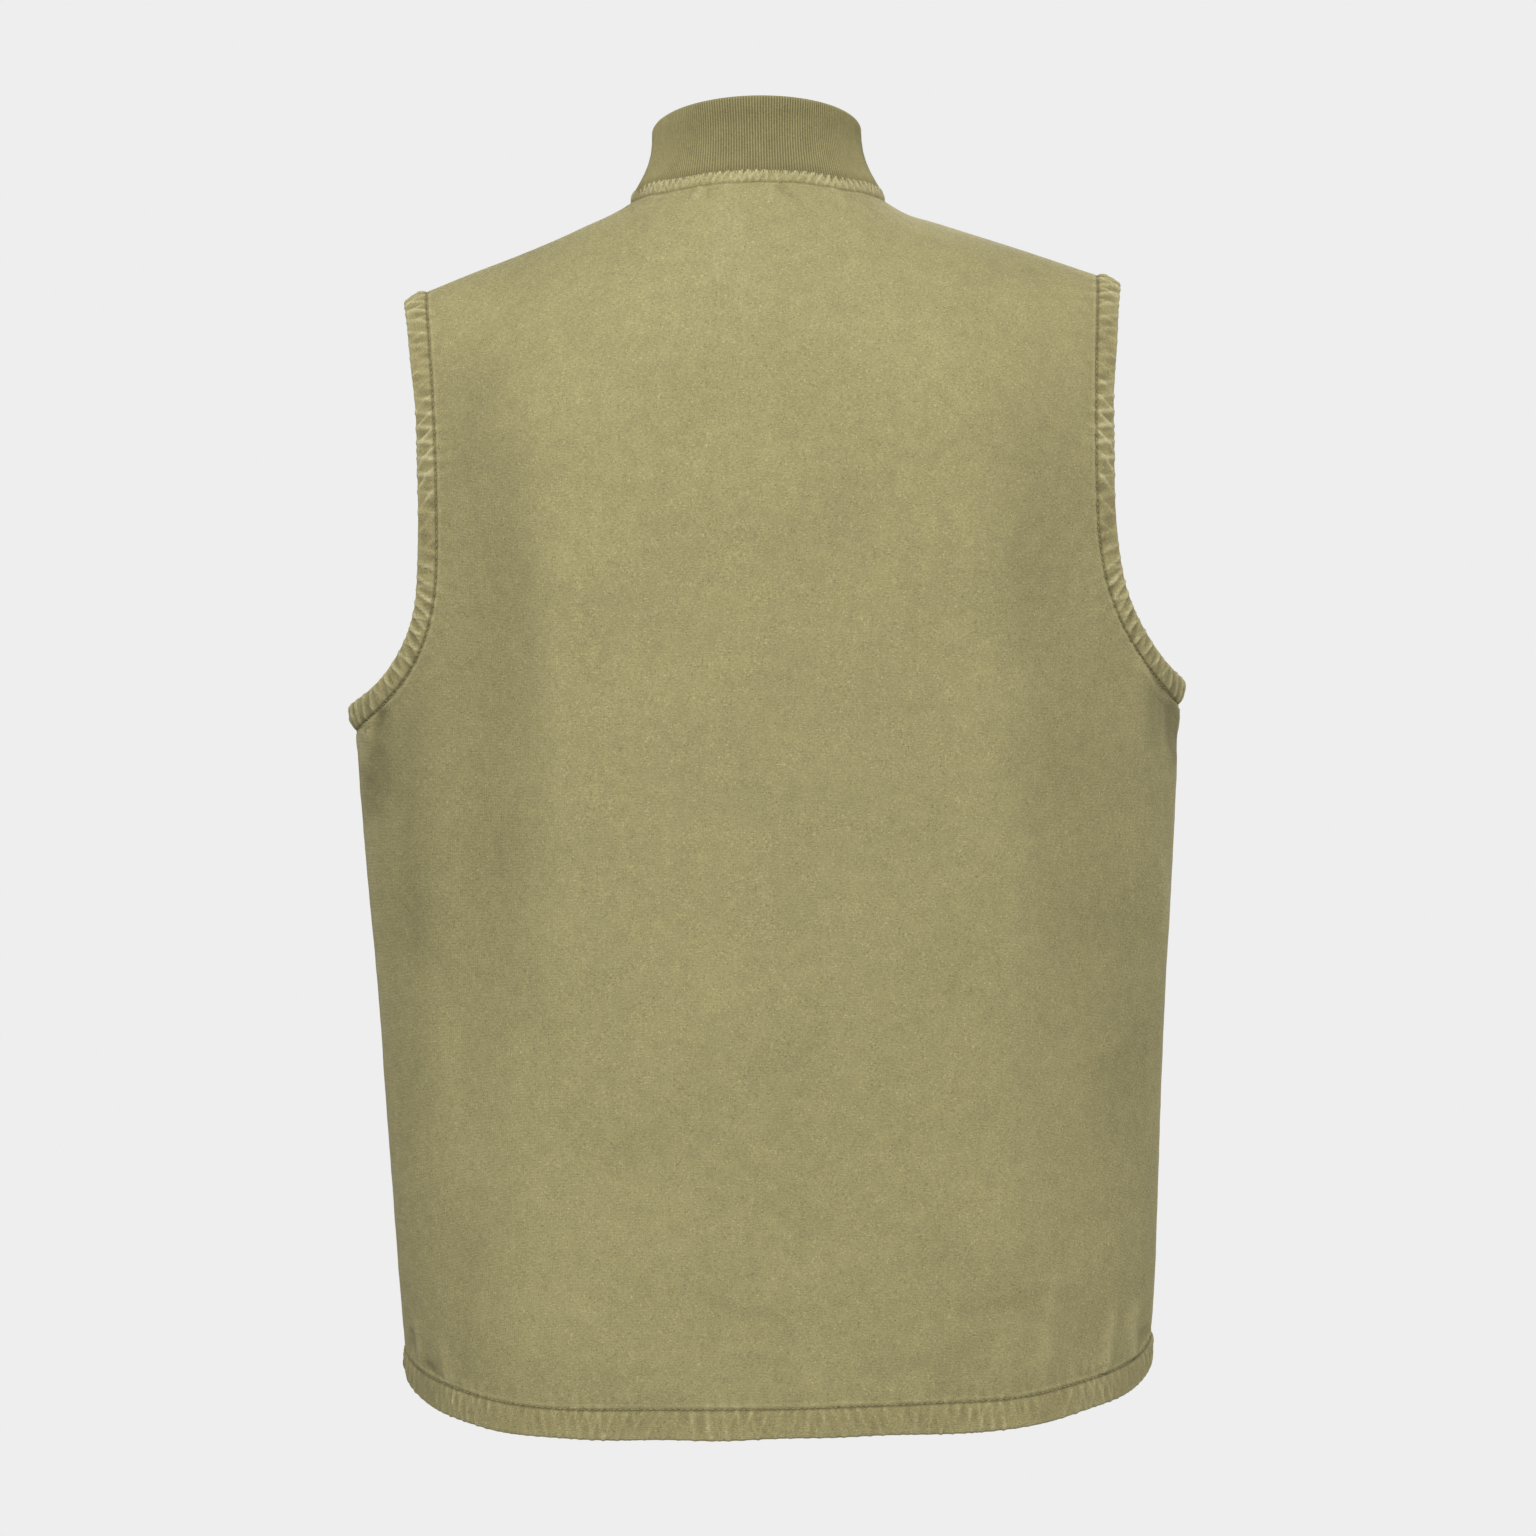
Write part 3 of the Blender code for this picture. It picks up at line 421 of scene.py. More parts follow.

# valley and ridge: painted shade in the valleys and a painted highlight on the ridges; worn and its colour: a
# lighter colour mixed in where the painted light is high, for wear and painted highlight.
CLOTH_LOOK = {
    "broad": 0.035, "blotch": 0.065, "mottle": 0.07, "slub": 0.14, "slub_stretch": (0.5, 1.8, 0),
    "fleck": 0.42, "valley": 0.32, "ridge": 0.12, "worn": 0.35, "worn_colour": (0.40, 0.37, 0.22, 1),
    "rough": 0.93, "sheen": 0.03, "weave": 0.8, "crumple": 0.5, "bump": 0.7,
}
BAND_LOOK = {**CLOTH_LOOK, "valley": 0.48, "ridge": 0.26, "worn": 0.65}
KNIT_LOOK = {
    **CLOTH_LOOK, "weave": 0.775, "valley": 0.38, "ridge": 0.10, "worn": 0.2, "mottle": 0.05, "fleck": 0.12,
}
TAPE_LOOK = {**CLOTH_LOOK, "weave": 0.6, "worn": 0.0}
THREAD_LOOK = {**CLOTH_LOOK, "weave": 0.0, "mottle": 0.03}
# Noise in the cloth, broadest first: its scale, detail and roughness.
CLOTH_NOISES = {
    "broad": (16.0, 3.0), "blotch": (120.0, 3.0, 0.6), "mottle": (520.0, 3.0, 0.65), "fleck": (1250.0, 1.0),
}
SLUB_NOISE = (1.0, 2.0, 0.6)
NAP = {"weave": 0.5, "mottle": 1.1, "height": 0.0003}
BRASS = {
    "dark": (0.13, 0.10, 0.05, 1), "rubbed": (0.33, 0.265, 0.15, 1), "rough": (0.55, 0.32),
    "tarnish": (260.0, 4.0, 0.7), "brushed": (1900.0, 2.0), "bump": (0.15, 0.0002),
}

# In metres.
STAGE = {"radius": 5.0, "low": -1.8, "high": 2.4, "sides": 96}
FLOOR_GREY = 0.25
FLOOR_GLOW = 0.62
WALL_GLOW = 0.855
SKY_GLOW = 0.46
AIM = Vector((0, 0, -0.3))
CAMERA = {"back": 2.2, "z": -0.3188, "roll": -1.03, "sensor": 36.0, "focal": 91.06}
LIGHTS = (
    # name, place, size, power
    ("key_behind", (0.40, 2.8, 1.7), 1.5, 108.0),
    ("key_front", (-0.6, -2.9, 1.5), 1.7, 96.0),
    ("fill_side", (-2.8, -0.4, -0.2), 1.2, 21.0),
)


# --- small helpers
def smooth_step(value):
    value = np.clip(value, 0, 1)
    return value * value * (3 - 2 * value)


def bell(offset, half_width):
    return np.exp(-((offset / half_width) ** 2))


def waves(run, rows, scale=1):
    return sum(high * np.sin(run / (scale * long) + start) for high, long, start in rows)


def unit(ways):
    return ways / np.linalg.norm(ways, axis=-1, keepdims=True)


def read_at(at, run, line):
    """The line's values this far along it."""
    return np.stack([np.interp(at, run, line[:, i]) for i in range(3)], -1)


def distance_along(points):
    steps = np.linalg.norm(np.diff(points, axis=0), axis=1)
    return np.concatenate([[0], np.cumsum(steps)])


def respaced(points, normals, spacing):
    """The same line with even spacing, and the run along it."""
    run = distance_along(points)
    at = np.linspace(0, run[-1], max(3, round(run[-1] / spacing)) + 1)
    return read_at(at, run, points), unit(read_at(at, run, normals)), at


def joined(*parts):
    """One line out of several, each given with its way: -1 where it runs backward."""
    turned = [[values[::way] for values in line] for line, way in parts]
    return [np.concatenate([each[min(n, 1) :] for n, each in enumerate(kind)]) for kind in zip(*turned)]


def smoothed(values, width):
    """Evens a line's normals out over neighbouring points."""
    pad = np.concatenate([values[:1].repeat(width, 0), values, values[-1:].repeat(width, 0)])
    kernel = np.ones(2 * width + 1) / (2 * width + 1)
    return unit(np.stack([np.convolve(pad[:, i], kernel, "valid") for i in range(3)], -1))


def frames_along(points, normals, flip, ends=None):
    """At each point of an edge, the direction out of the panel, square to the edge and to the normal.
    ends: the edge's directions at its two ends, or None where it is a closed loop."""
    tangent = np.roll(points, -1, axis=0) - np.roll(points, 1, axis=0)
    if ends:
        tangent[0], tangent[-1] = ends
    return unit(np.cross(tangent, normals) * flip)


def through(places, values, at):
    """Reads, at the given places, the smooth curve that passes through the table's values."""
    places, values = np.asarray(places, float), np.asarray(values, float)
    slopes = np.gradient(values, places)
    at = np.clip(at, places[0], places[-1])
    low = np.clip(np.searchsorted(places, at) - 1, 0, len(places) - 2)
    step = places[low + 1] - places[low]
    t = (at - places[low]) / step
    start = (1 + 2 * t) * (1 - t) ** 2 * values[low] + t * (1 - t) ** 2 * step * slopes[low]
    end = t * t * (3 - 2 * t) * values[low + 1] + t * t * (t - 1) * step * slopes[low + 1]
    return start + end


# --- the form
def level(column, height):
    return through(LEVELS["height"], LEVELS[column], height)


def both_halves(left, right, x):
    """The wearer's left value at x above zero, the right one below it, turning smoothly in the middle."""
    return right + (left - right) * smooth_step(0.5 + np.asarray(x, float) / MIDDLE_BLEND)


def ridge(x):
    """Height of the shoulder line above x."""
    distance = np.hypot(x, RIDGE_ROUND)
    halves = (through(SHOULDER_LINE["distance"], SHOULDER_LINE[half], distance) for half in ("left", "right"))
    return both_halves(*halves, x)


def fold_depth(face, x, z):
    """How far the folds push the cloth out at this place."""
    total = 0.0
    for from_x, from_z, to_x, to_z, half_width, out in FOLDS[face]:
        along = np.clip((from_z - z) / (from_z - to_z), 0, 1)
        middle = from_x + (to_x - from_x) * along
        starts, stops = FOLD_FADES
        ends = np.clip((from_z - z) / starts, 0, 1) * np.clip((z - to_z) / stops + 1, 0, 1)
        total = total + out * smooth_step(ends) * bell(x - middle, half_width)
    return total


def depth(face, x, z):
    """How far behind the shoulder line (back) or in front of it (front) the cloth lies."""
    x, z = np.asarray(x, float), np.asarray(z, float)
    half_width, deep = level("half_width", z), level(face, z)
    across = np.minimum(np.abs(x) / half_width, 1)
    if face == "back":
        turn, soft = (both_halves(level(f"{n}_left", z), level(f"{n}_right", z), x) for n in ("turn", "soft"))
    else:
        turn, soft = level("turn_front", z), level("soft_front", z)
    side = deep * ((1 - across) / (1 - turn / half_width)) ** SIDE_ROUND
    middle = deep - BACK_CROWN * (x / turn) ** 2
    # the smaller of the two, rounded where they cross
    body = -soft * np.logaddexp(-middle / soft, -side / soft)
    below = np.clip((ridge(x) - z) / SHOULDER_DROP[face], 0, 1)
    over_shoulder = np.sqrt(1 - (1 - below) ** 2)
    away_from_seams = np.clip(FOLD_AT_SEAM * (1 - across), 0, 1) * below
    return np.maximum(body, 0) * over_shoulder + fold_depth(face, x, z) * away_from_seams


def on_body(face, x, z):
    """The point of the cloth's outer face at x and z, and its outward normal."""
    inward = np.where(np.asarray(x) >= 0, PROBE, -PROBE)
    here = depth(face, x, z)
    slope_x = (here - depth(face, x - inward, z)) / inward
    slope_z = (here - depth(face, x, z - PROBE)) / PROBE
    point = np.stack(np.broadcast_arrays(x, WAY[face] * (here + SEAM_GAP / 2), z), -1)
    return point, unit(np.stack(np.broadcast_arrays(-slope_x, WAY[face] * 1.0, -slope_z), -1))


def armhole_x(face, side, z):
    """Half width of the panel at the armhole's edge."""
    waist = side[face + "_waist"]
    tip_z = float(ridge(side["sign"] * side["tip"]))
    upper = np.clip((z - ARMHOLE_WAIST) / (tip_z - ARMHOLE_WAIST), 0, 1)
    lower = np.clip((ARMHOLE_WAIST - z) / (ARMHOLE_WAIST - side["underarm"]), 0, 1)
    out_to_tip = (side["tip"] - waist) * upper**2
    out_to_seam = (level("half_width", side["underarm"]) - waist) * lower ** side[face + "_curl"]
    return waist + out_to_tip + out_to_seam


def place(face, side, across, up):
    """(x, z) on a panel. across: 0 at the inner edge, 1 at the side seam or armhole. up: 0 at the lower
    edge, 1 at the underarm, 2 at the shoulder seam and neck."""
    start, sign, low = INNER_EDGE[face], side["sign"], side["underarm"]
    share = np.sin(across * math.pi / 2)
    middle_height = (SIDES["left"]["underarm"] + SIDES["right"]["underarm"]) / 2
    chest_z = middle_height + (low - middle_height) * share

    hem_x = start + (level("half_width", HEM_SIDE) - start) * share
    hem_share = np.clip(depth(face, sign * hem_x, HEM_SIDE) / level(face, HEM_SIDE), 0, 1)
    curved = np.hypot(hem_share, HEM_LEVEL) ** HEM_CURVE - HEM_LEVEL**HEM_CURVE
    hem_z = HEM_SIDE - HEM_DIP * curved / (1 - HEM_LEVEL**HEM_CURVE)

    top_x = start + (side["tip"] - start) * share
    top_z = ridge(sign * top_x) - NECK_CUT[face] * np.clip(1 - (top_x / NECK_HALF) ** 2, 0, 1)

    high = np.clip(up - 1, 0, 1)
    z = np.where(up <= 1, hem_z + (chest_z - hem_z) * np.minimum(up, 1), chest_z + (top_z - chest_z) * high)
    edge_z = low + (float(ridge(sign * side["tip"])) - low) * high
    end = np.where(up <= 1, level("half_width", z), armhole_x(face, side, edge_z))
    return sign * (start + (end - start) * share), z


# --- the sewn edges
def edge(face, side, across, up):
    """Points and normals of a panel's edge, with its seam gap closed."""
    across, up = np.broadcast_arrays(np.asarray(across, float), np.asarray(up, float))
    point, normal = on_body(face, *place(face, side, across, up))
    point[:, 1] -= (SEAM_GAP / 2) * WAY[face]
    return point, normal


def neck_across(face, side):
    """The value of across whose column ends at the inner end of the shoulder seam."""
    start = INNER_EDGE[face]
    return math.asin((NECK_HALF - start) / (side["tip"] - start)) * 2 / math.pi


def armhole_line(side):
    """The edge of an armhole, from the shoulder down the back and up the front: a closed loop."""
    up = 1 + (1 - np.cos(np.linspace(0, math.pi, EDGE_SAMPLES))) / 2
    points, normals = joined((edge("back", side, 1, up), -1), (edge("front", side, 1, up), 1))
    return points, smoothed(normals, SMOOTH_OVER)


def hem_line(face, side_names):
    """The lower edge of a panel, from the wearer's right to the left."""
    across = np.linspace(0, 1, EDGE_SAMPLES)
    sides = [SIDES[name] for name in side_names]
    return joined(*((on_body(face, *place(face, side, across, 0.0)), side["sign"]) for side in sides))


def neck_line():
    """The panels' neck edge, from the front edge at the wearer's right, round the back, to the left."""
    parts = []
    for side_name, faces in (("right", ("front", "back")), ("left", ("back", "front"))):
        for face, way in zip(faces, (1, -1)):
            side = SIDES[side_name]
            across = neck_across(face, side) * np.sin(np.linspace(0, math.pi / 2, EDGE_SAMPLES // 2))
            parts.append((edge(face, side, across, 2), way))
    points, normals = joined(*parts)
    return points, smoothed(normals, SMOOTH_OVER)


def pucker(kind, run, across=0.0):
    """Height of the gathers along a sewn edge, from about -0.5 in the valleys to 1 on the ridges."""
    shape = PUCKERS[kind]
    drift = waves(run, GATHER_DRIFT, shape["pitch"])
    turn, turn_long, turn_start = GATHER_TURN
    vary, vary_long, vary_start = GATHER_HIGH
    total = GATHER_FLOOR
    for pitch, slant, start, high, wide in GATHERS:
        spaced = shape["pitch"] * pitch
        lean = across * shape["slant"] * slant * (1 + turn * np.sin(run / turn_long + start * turn_start))
        phase = run / spaced + drift / pitch + lean + start
        strength = 1 - vary + vary * np.sin(run / (spaced * vary_long) + start * vary_start)
        total = total + high * strength * bell(np.sin(math.pi * phase), wide)
    return np.clip(total, -1, 1)


def nearest(points, line, run, reach):
    """For each point within reach of a line: how far off it is, and how far along."""
    flat = points.reshape(-1, 3)
    away = np.full(len(flat), FAR)
    along = np.zeros(len(flat))
    close = np.nonzero(np.all((flat > line.min(0) - reach) & (flat < line.max(0) + reach), axis=1))[0]
    for part in np.array_split(close, max(1, len(close) // AT_ONCE)):
        gap = np.linalg.norm(flat[part][:, None] - line[None], axis=2)
        index = gap.argmin(1)
        away[part] = gap[np.arange(len(part)), index]
        along[part] = run[index]
    return away.reshape(points.shape[:-1]), along.reshape(points.shape[:-1])


# --- folds and creases
def swell(x, z, shift):
    total = 0.0
    for length, way, start, out in SWELLS:
        run = x * math.cos(math.radians(way)) + z * math.sin(math.radians(way))
        total = total + out * np.sin(2 * math.pi * run / length + start + shift)
    return total


def creases(face, x, z, fine):
    """The fine creases, which run right into the seams, or the broader ones."""
    total = 0.0
    for from_x, from_z, mid_x, mid_z, to_x, to_z, half_width, out in CREASES[face]:
        if (half_width <= FINE_CREASE) != fine:
            continue
        t = np.clip((from_z - z) / (from_z - to_z), 0, 1)
        mid = (from_z - mid_z) / (from_z - to_z)
        bow = (mid_x - from_x - (to_x - from_x) * mid) / (mid * (mid - 1))
        middle = from_x + (to_x - from_x) * t + bow * t * (t - 1)
        ends = np.clip(t / CREASE_FADE, 0, 1) * np.clip((1 - t) / CREASE_FADE, 0, 1)
        total = total + out * smooth_step(ends) * bell(x - middle, half_width)
    return total


def crumples(face, x, z):
    total = 0.0
    for from_x, from_z, to_x, to_z, half_width, out in CRUMPLES[face]:
        long = math.hypot(to_x - from_x, to_z - from_z)
        way_x, way_z = (to_x - from_x) / long, (to_z - from_z) / long
        t = ((x - from_x) * way_x + (z - from_z) * way_z) / long
        aside = (z - from_z) * way_x - (x - from_x) * way_z + CRUMPLE_WANDER * np.sin(t * 7 + from_x)
        fade = smooth_step(t / CRUMPLE_FADE) * smooth_step((1 - t) / CRUMPLE_FADE)
        total = total + out * fade * bell(aside, half_width)
    return total


# Painted light and shade: soft patches that darken or lighten the cloth's colour.
def painted_light_and_shade(face, x, z):
    return sum(
        tone * np.exp(-(((x - mid_x) / half_width) ** 2) - ((z - mid_z) / half_height) ** 4)
        for mid_x, mid_z, half_width, half_height, tone in PAINTED_LIGHT_SHADE[face]
    )


def panel_relief(face, points, x, z, lines):
    """How far the cloth stands off the plain form, and its painted light and shade: 0.5 is plain, 0 in
    painted shade deep in a seam and 1 on a ridge with a painted highlight and a lighter worn colour."""
    calm, clear, edges, shade = np.ones(x.shape), np.ones(x.shape), np.zeros(x.shape), np.zeros(x.shape)
    for kind, line, run in lines:
        away, along = nearest(points, line, run, SEAM_REACH["all"])
        calm *= smooth_step(away / SEAM_REACH["calm"])
        clear *= smooth_step(away / SEAM_REACH["clear"])
        if kind in PUCKERS:
            reach = np.exp(-away / PUCKERS[kind]["reach"]) * smooth_step(away / SEAM_REACH["gather"])
            gather = pucker(kind, along, -away / SEAM_REACH["calm"]) * reach
            edges += gather * PUCKERS[kind]["on_cloth"]
            # painted light on the gathers' ridges and painted shade in their valleys
            shade += gather * SHADE["gather"]
        if kind == "zip":
            ditch = bell(away - ZIP_STITCH["in"], ZIP_STITCH["wide"])
            edges -= ditch * ZIP_STITCH["deep"]
            # painted shade in the stitched ditch beside the zip
            shade -= ditch * ZIP_STITCH["tone"]
            continue
        share = DITCH_SHARE.get(kind, 1.0)
        ditch = bell(away, DITCH["wide"])
        edges -= ditch * DITCH["deep"] * share
        if face == "front" and kind in ("side", "shoulder"):
            edges -= ditch * FRONT_UNDER
        # painted light beside the side seams
        if kind == "side":
            shade += bell(away, SIDE_PAINTED_LIGHT["reach"]) * SIDE_PAINTED_LIGHT["tone"]
        # painted shade down in the stitched ditch, and a painted highlight on the cloth just beside it
        shade -= bell(away, DITCH["dark_wide"]) * DITCH["dark"] * share
        shade += bell(away - DITCH["light_in"], DITCH["light_wide"]) * DITCH["light"] * share
    folds = creases(face, x, z, False)
    fine = creases(face, x, z, True) * clear
    crossing = crumples(face, x, z)
    loose = swell(x, z, SWELL_SHIFT[face]) + crossing
    # painted light and shade from the patches, the broad folds, the fine creases and the crumples
    shade = shade + painted_light_and_shade(face, x, z) + folds * SHADE["fold"] * calm
    shade = shade + np.maximum(fine, SHADE["fine_floor"]) * SHADE["fine"] + crossing * SHADE["crumple"] * calm
    return folds * calm**0.35 + fine + loose * calm + edges, 0.5 + shade


# --- meshes
def linked(name, data):
    made = bpy.data.objects.new(name, data)
    bpy.context.scene.collection.objects.link(made)
    return made


def add_mesh(name, points, faces, painted_shading, grain, material, smooth=True):
    """A mesh whose points carry their painted light and shade, and their place along the cloth's
    grain, in millimetres."""
    mesh = bpy.data.meshes.new(name)
    mesh.from_pydata((np.reshape(points, (-1, 3)) * MM).tolist(), [], faces)
    mesh.update()
    turn_outward(mesh)
    shade = mesh.attributes.new("painted_shading", "FLOAT", "POINT")
    shade.data.foreach_set("value", np.clip(np.reshape(painted_shading, -1), 0, 1).astype(np.float32))
    along = mesh.attributes.new("grain", "FLOAT_VECTOR", "POINT")
    along.data.foreach_set("vector", np.reshape(grain, -1).astype(np.float32))
    if smooth:
        mesh.shade_smooth()
    mesh.materials.append(material)
    return linked(name, mesh)


def worn_on_vest(piece, node=None):
    """Puts a piece on the vest. node: the frame's node it stands for, which is hidden."""
    if node:
        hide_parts(node)
    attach(piece, "vest")


def turn_outward(mesh):
    """Turns the faces round if the mesh is inside out."""
    mesh.calc_loop_triangles()
    points = np.empty(len(mesh.vertices) * 3)
    mesh.vertices.foreach_get("co", points)
    index = np.empty(len(mesh.loop_triangles) * 3, int)
    mesh.loop_triangles.foreach_get("vertices", index)
    a, b, c = (points.reshape(-1, 3)[index.reshape(-1, 3)[:, i]] for i in range(3))
    if np.einsum("ij,ij->i", a, np.cross(b, c)).sum() < 0:
        mesh.flip_normals()


def grid_faces(index):
    """Quads over a grid of point numbers."""
    corners = (index[:-1, :-1], index[:-1, 1:], index[1:, 1:], index[1:, :-1])
    return np.stack(corners, -1).reshape(-1, 4)


def ring_grid(sections, ring):
    """Quads through closed cross-sections, with caps where it isn't a ring."""
    count, around = sections.shape[:2]
    index = np.arange(count * around).reshape(count, around)
    index = np.concatenate([index, index[:, :1]], axis=1)
    if ring:
        index = np.concatenate([index, index[:1]], axis=0)
    faces = [tuple(f) for f in grid_faces(index).tolist()]
    if not ring:
        faces.append(tuple(reversed(range(around))))
        faces.append(tuple(range((count - 1) * around, count * around)))
    return faces


def wall_faces(rows, columns):
    """Quads of a thin wall: its outer grid, its inner grid behind that and the rim."""
    index = np.arange(rows * columns).reshape(rows, columns)
    behind = index + rows * columns
    faces = [grid_faces(index), grid_faces(behind)[:, ::-1]]
    rims = (lambda g: g[0, ::-1], lambda g: g[-1], lambda g: g[:, 0], lambda g: g[::-1, -1])
    for line, back in ((rim(index), rim(behind)) for rim in rims):
        faces.append(np.stack([line[:-1], line[1:], back[1:], back[:-1]], -1))
    return [tuple(f) for f in np.concatenate(faces).tolist()]


def grid_normals(points, outward):
    """Normals of a curved grid, on the same side as the rough ones given."""
    normal = np.cross(np.gradient(points, axis=1), np.gradient(points, axis=0))
    size = np.linalg.norm(normal, axis=-1, keepdims=True)
    normal = np.where(size > 1e-9, normal / np.maximum(size, 1e-9), outward)
    return normal * np.sign(np.sum(normal * outward, axis=-1, keepdims=True))


# --- panels
def panel_places():
    """Values of across and up over a panel, closer together beside its seams."""
    steps = np.array(EDGE_STEPS)
    across = np.unique(np.concatenate([np.linspace(0, 1, HALF_COLUMNS + 1), 1 - steps / SIDE_SPAN]))
    body, chest = np.linspace(0, 1, BODY_ROWS + 1), np.linspace(1, 2, CHEST_ROWS + 1)
    return across, np.unique(np.concatenate([body, chest, steps / BODY_SPAN, 2 - steps / CHEST_SPAN]))


def panel_surface(face, side_name):
    """Half a back or a whole front: points, rough normals, relief, painted light and shade, and grain."""
    side = SIDES[side_name]
    across, up = np.meshgrid(*panel_places())
    x, z = place(face, side, across, up)
    points, normals = on_body(face, x, z)
    hem = respaced(*hem_line(face, [side_name] if face == "front" else ["right", "left"]), EDGE_SPACING)
    lines = [(kind, line[0], line[2]) for kind, line in (
        ("armhole", armhole_lines[side_name]), ("neck", neck_spaced), ("hem", hem))]
    plain = [("side", 1, np.linspace(0, 1, EDGE_SAMPLES))]
    plain.append(("shoulder", np.linspace(neck_across(face, side), 1, EDGE_SAMPLES), 2))
    if face == "front":
        plain.append(("zip", 0, np.linspace(0, 2, EDGE_SAMPLES)))
    for kind, edge_across, edge_up in plain:
        line = edge(face, side, edge_across, edge_up)[0]
        lines.append((kind, line, distance_along(line)))
    out, shade = panel_relief(face, points, x, z, lines)
    grain = np.stack([x + GRAIN_TURN * points[..., 1], z, np.zeros(x.shape)], -1)
    return points, normals, out, shade, grain


def add_panel(name, parts, node):
    points, normals, out, shade, grain = parts
    raised = points + normals * out[..., None]
    both = np.stack([raised, raised - grid_normals(raised, normals) * CLOTH])
    lit = np.stack([shade, np.full(shade.shape, 0.5)])
    piece = add_mesh(name, both, wall_faces(*out.shape), lit, np.stack([grain, grain]), canvas)
    worn_on_vest(piece, node)


# --- bands
def rounded_section(section, count):
    """A closed smooth line through a band's cross-section."""
    corners = np.column_stack([section["out"], section["proud"]]).astype(float)
    at = np.linspace(0, len(corners), count, endpoint=False)
    low = at.astype(int)
    t = (at - low)[:, None]
    before, here, after, later = (corners[(low + k) % len(corners)] for k in (-1, 0, 1, 2))
    bend = 2 * before - 5 * here + 4 * after - later
    twist = 3 * here - before - 3 * after + later
    return 0.5 * (2 * here + (after - before) * t + bend * t**2 + twist * t**3)


def add_band(node, kind, section, line, flip, ring=False, ends=None, lean=0.0):
    """A gathered strip sewn along an edge, and the row of stitches in its seam."""
    points, normals, run = (part[:-1] for part in line) if ring else line
    out = frames_along(points, normals, flip, ends)
    profile = rounded_section(section, BAND_AROUND)
    share = profile[:, 0] / max(section["out"])
    top, low = max(section["proud"]), min(section["proud"])
    upper = smooth_step((profile[:, 1] - low) / (top - low) * BAND["upper"] - BAND["upper_from"])
    gather = pucker(kind, run[:, None], share[None])
    shape = PUCKERS[kind]
    bulge = np.sin(math.pi * np.clip(share * BAND["swell"] + BAND["swell_from"], 0, 1))
    swollen = upper * bulge ** BAND["swell_power"]
    wander = waves(run, BAND_WANDER)[:, None]
    push_by = (gather * BAND["push"] + wander) * (np.clip(share, 0, 1) ** 2)[None]
    lean = np.broadcast_to(lean, run.shape)[:, None] * share[None]
    height = profile[None, :, 1] + gather * shape["on_band"] * swollen[None] + lean
    across = profile[None, :, 0] + push_by
    sections = points[:, None] + out[:, None] * across[..., None] + normals[:, None] * height[..., None]
    # painted shade along the band's seam, painted light and shade on its gathers' ridges and valleys, and a
    # painted highlight along its outer edge
    dark = bell(profile[:, 0], DITCH["dark_wide"]) * DITCH_SHARE.get(kind, 1.0)
    wave = np.sin(run[:, None] / BAND_RIDGE_SHADING["long"] + BAND_RIDGE_SHADING["slant"] * share[None])
    ridge_shading = BAND_RIDGE_SHADING["mean"] + BAND_RIDGE_SHADING["high"] * wave - BAND_RIDGE_SHADING["outer"] * share[None] ** 2
    shade = 0.5 + shape["light"] + gather * shape["contrast"] * upper[None] * ridge_shading
    rim = bell(share - BAND_RIM[0], BAND_RIM[1])
    shade = shade - SHADE["band_seam"] * dark[None] + SHADE["band_rim"] * rim[None]
    length = np.linalg.norm(np.diff(profile, axis=0, append=profile[:1]), axis=1).cumsum()
    grain = np.stack(np.broadcast_arrays(run[:, None], length[None], 0.0), -1)
    piece = add_mesh(f"{node}_cloth", sections, ring_grid(sections, ring), shade, grain, canvas_band)
    worn_on_vest(piece, node)
    add_stitches(node.replace("band", "stitches"), line, flip, ring, ends)


def add_stitches(name, line, flip, ring, ends):
    """A row of sewn stitches beside an edge, each a short rounded thread between two holes."""
    points, normals, run = line
    out = frames_along(points, normals, flip, ends)
    total = run[-1] if ring else run[-1] - STITCH["pitch"]
    turns = np.linspace(0, 2 * math.pi, STITCH_SIDES, endpoint=False)[None, :, None]
    rings = np.linspace(-1, 1, STITCH_RINGS)
    sections, faces = [], []
    for number, start in enumerate(np.arange(STITCH["first"], total, STITCH["pitch"])):
        at = start + STITCH["long"] / 2 + rings * STITCH["long"] / 2
        here, up, aside = (read_at(at, run, each) for each in (points, normals, out))
        sink = (STITCH["height"] - STITCH["dip"] * np.abs(rings) ** 3)[:, None]
        radius = STITCH["thick"] * np.sqrt(np.clip(1.04 - rings**2, 0.04, 1))[:, None, None]
        middle_line = here + up * sink - aside * STITCH["inward"]
        round_it = aside[:, None] * np.cos(turns) + up[:, None] * np.sin(turns)
        sections.append(middle_line[:, None] + round_it * radius)
        first = number * STITCH_RINGS * STITCH_SIDES
        faces += [tuple(i + first for i in f) for f in ring_grid(sections[-1], False)]
    shape = np.concatenate([s.reshape(-1, 3) for s in sections])
    piece = add_mesh(name, shape, faces, np.full(len(shape), 0.5), shape, thread)
    worn_on_vest(piece)


# --- collar
def collar_top(angle):
    """The collar's top edge. The angle is 0 at centre back and half a turn at centre front."""
    back, front = np.clip(np.cos(angle), 0, 1), np.clip(-np.cos(angle), 0, 1)
    x = COLLAR_TOP_HALF * np.sin(angle)
    y = COLLAR_TOP_BACK * back - COLLAR_TOP_FRONT * front
    z = COLLAR_SIDE_HEIGHT + COLLAR_BACK_RISE * back**0.9 - COLLAR_FRONT_FALL * front**1.4
    return np.stack([x, y, z], -1)


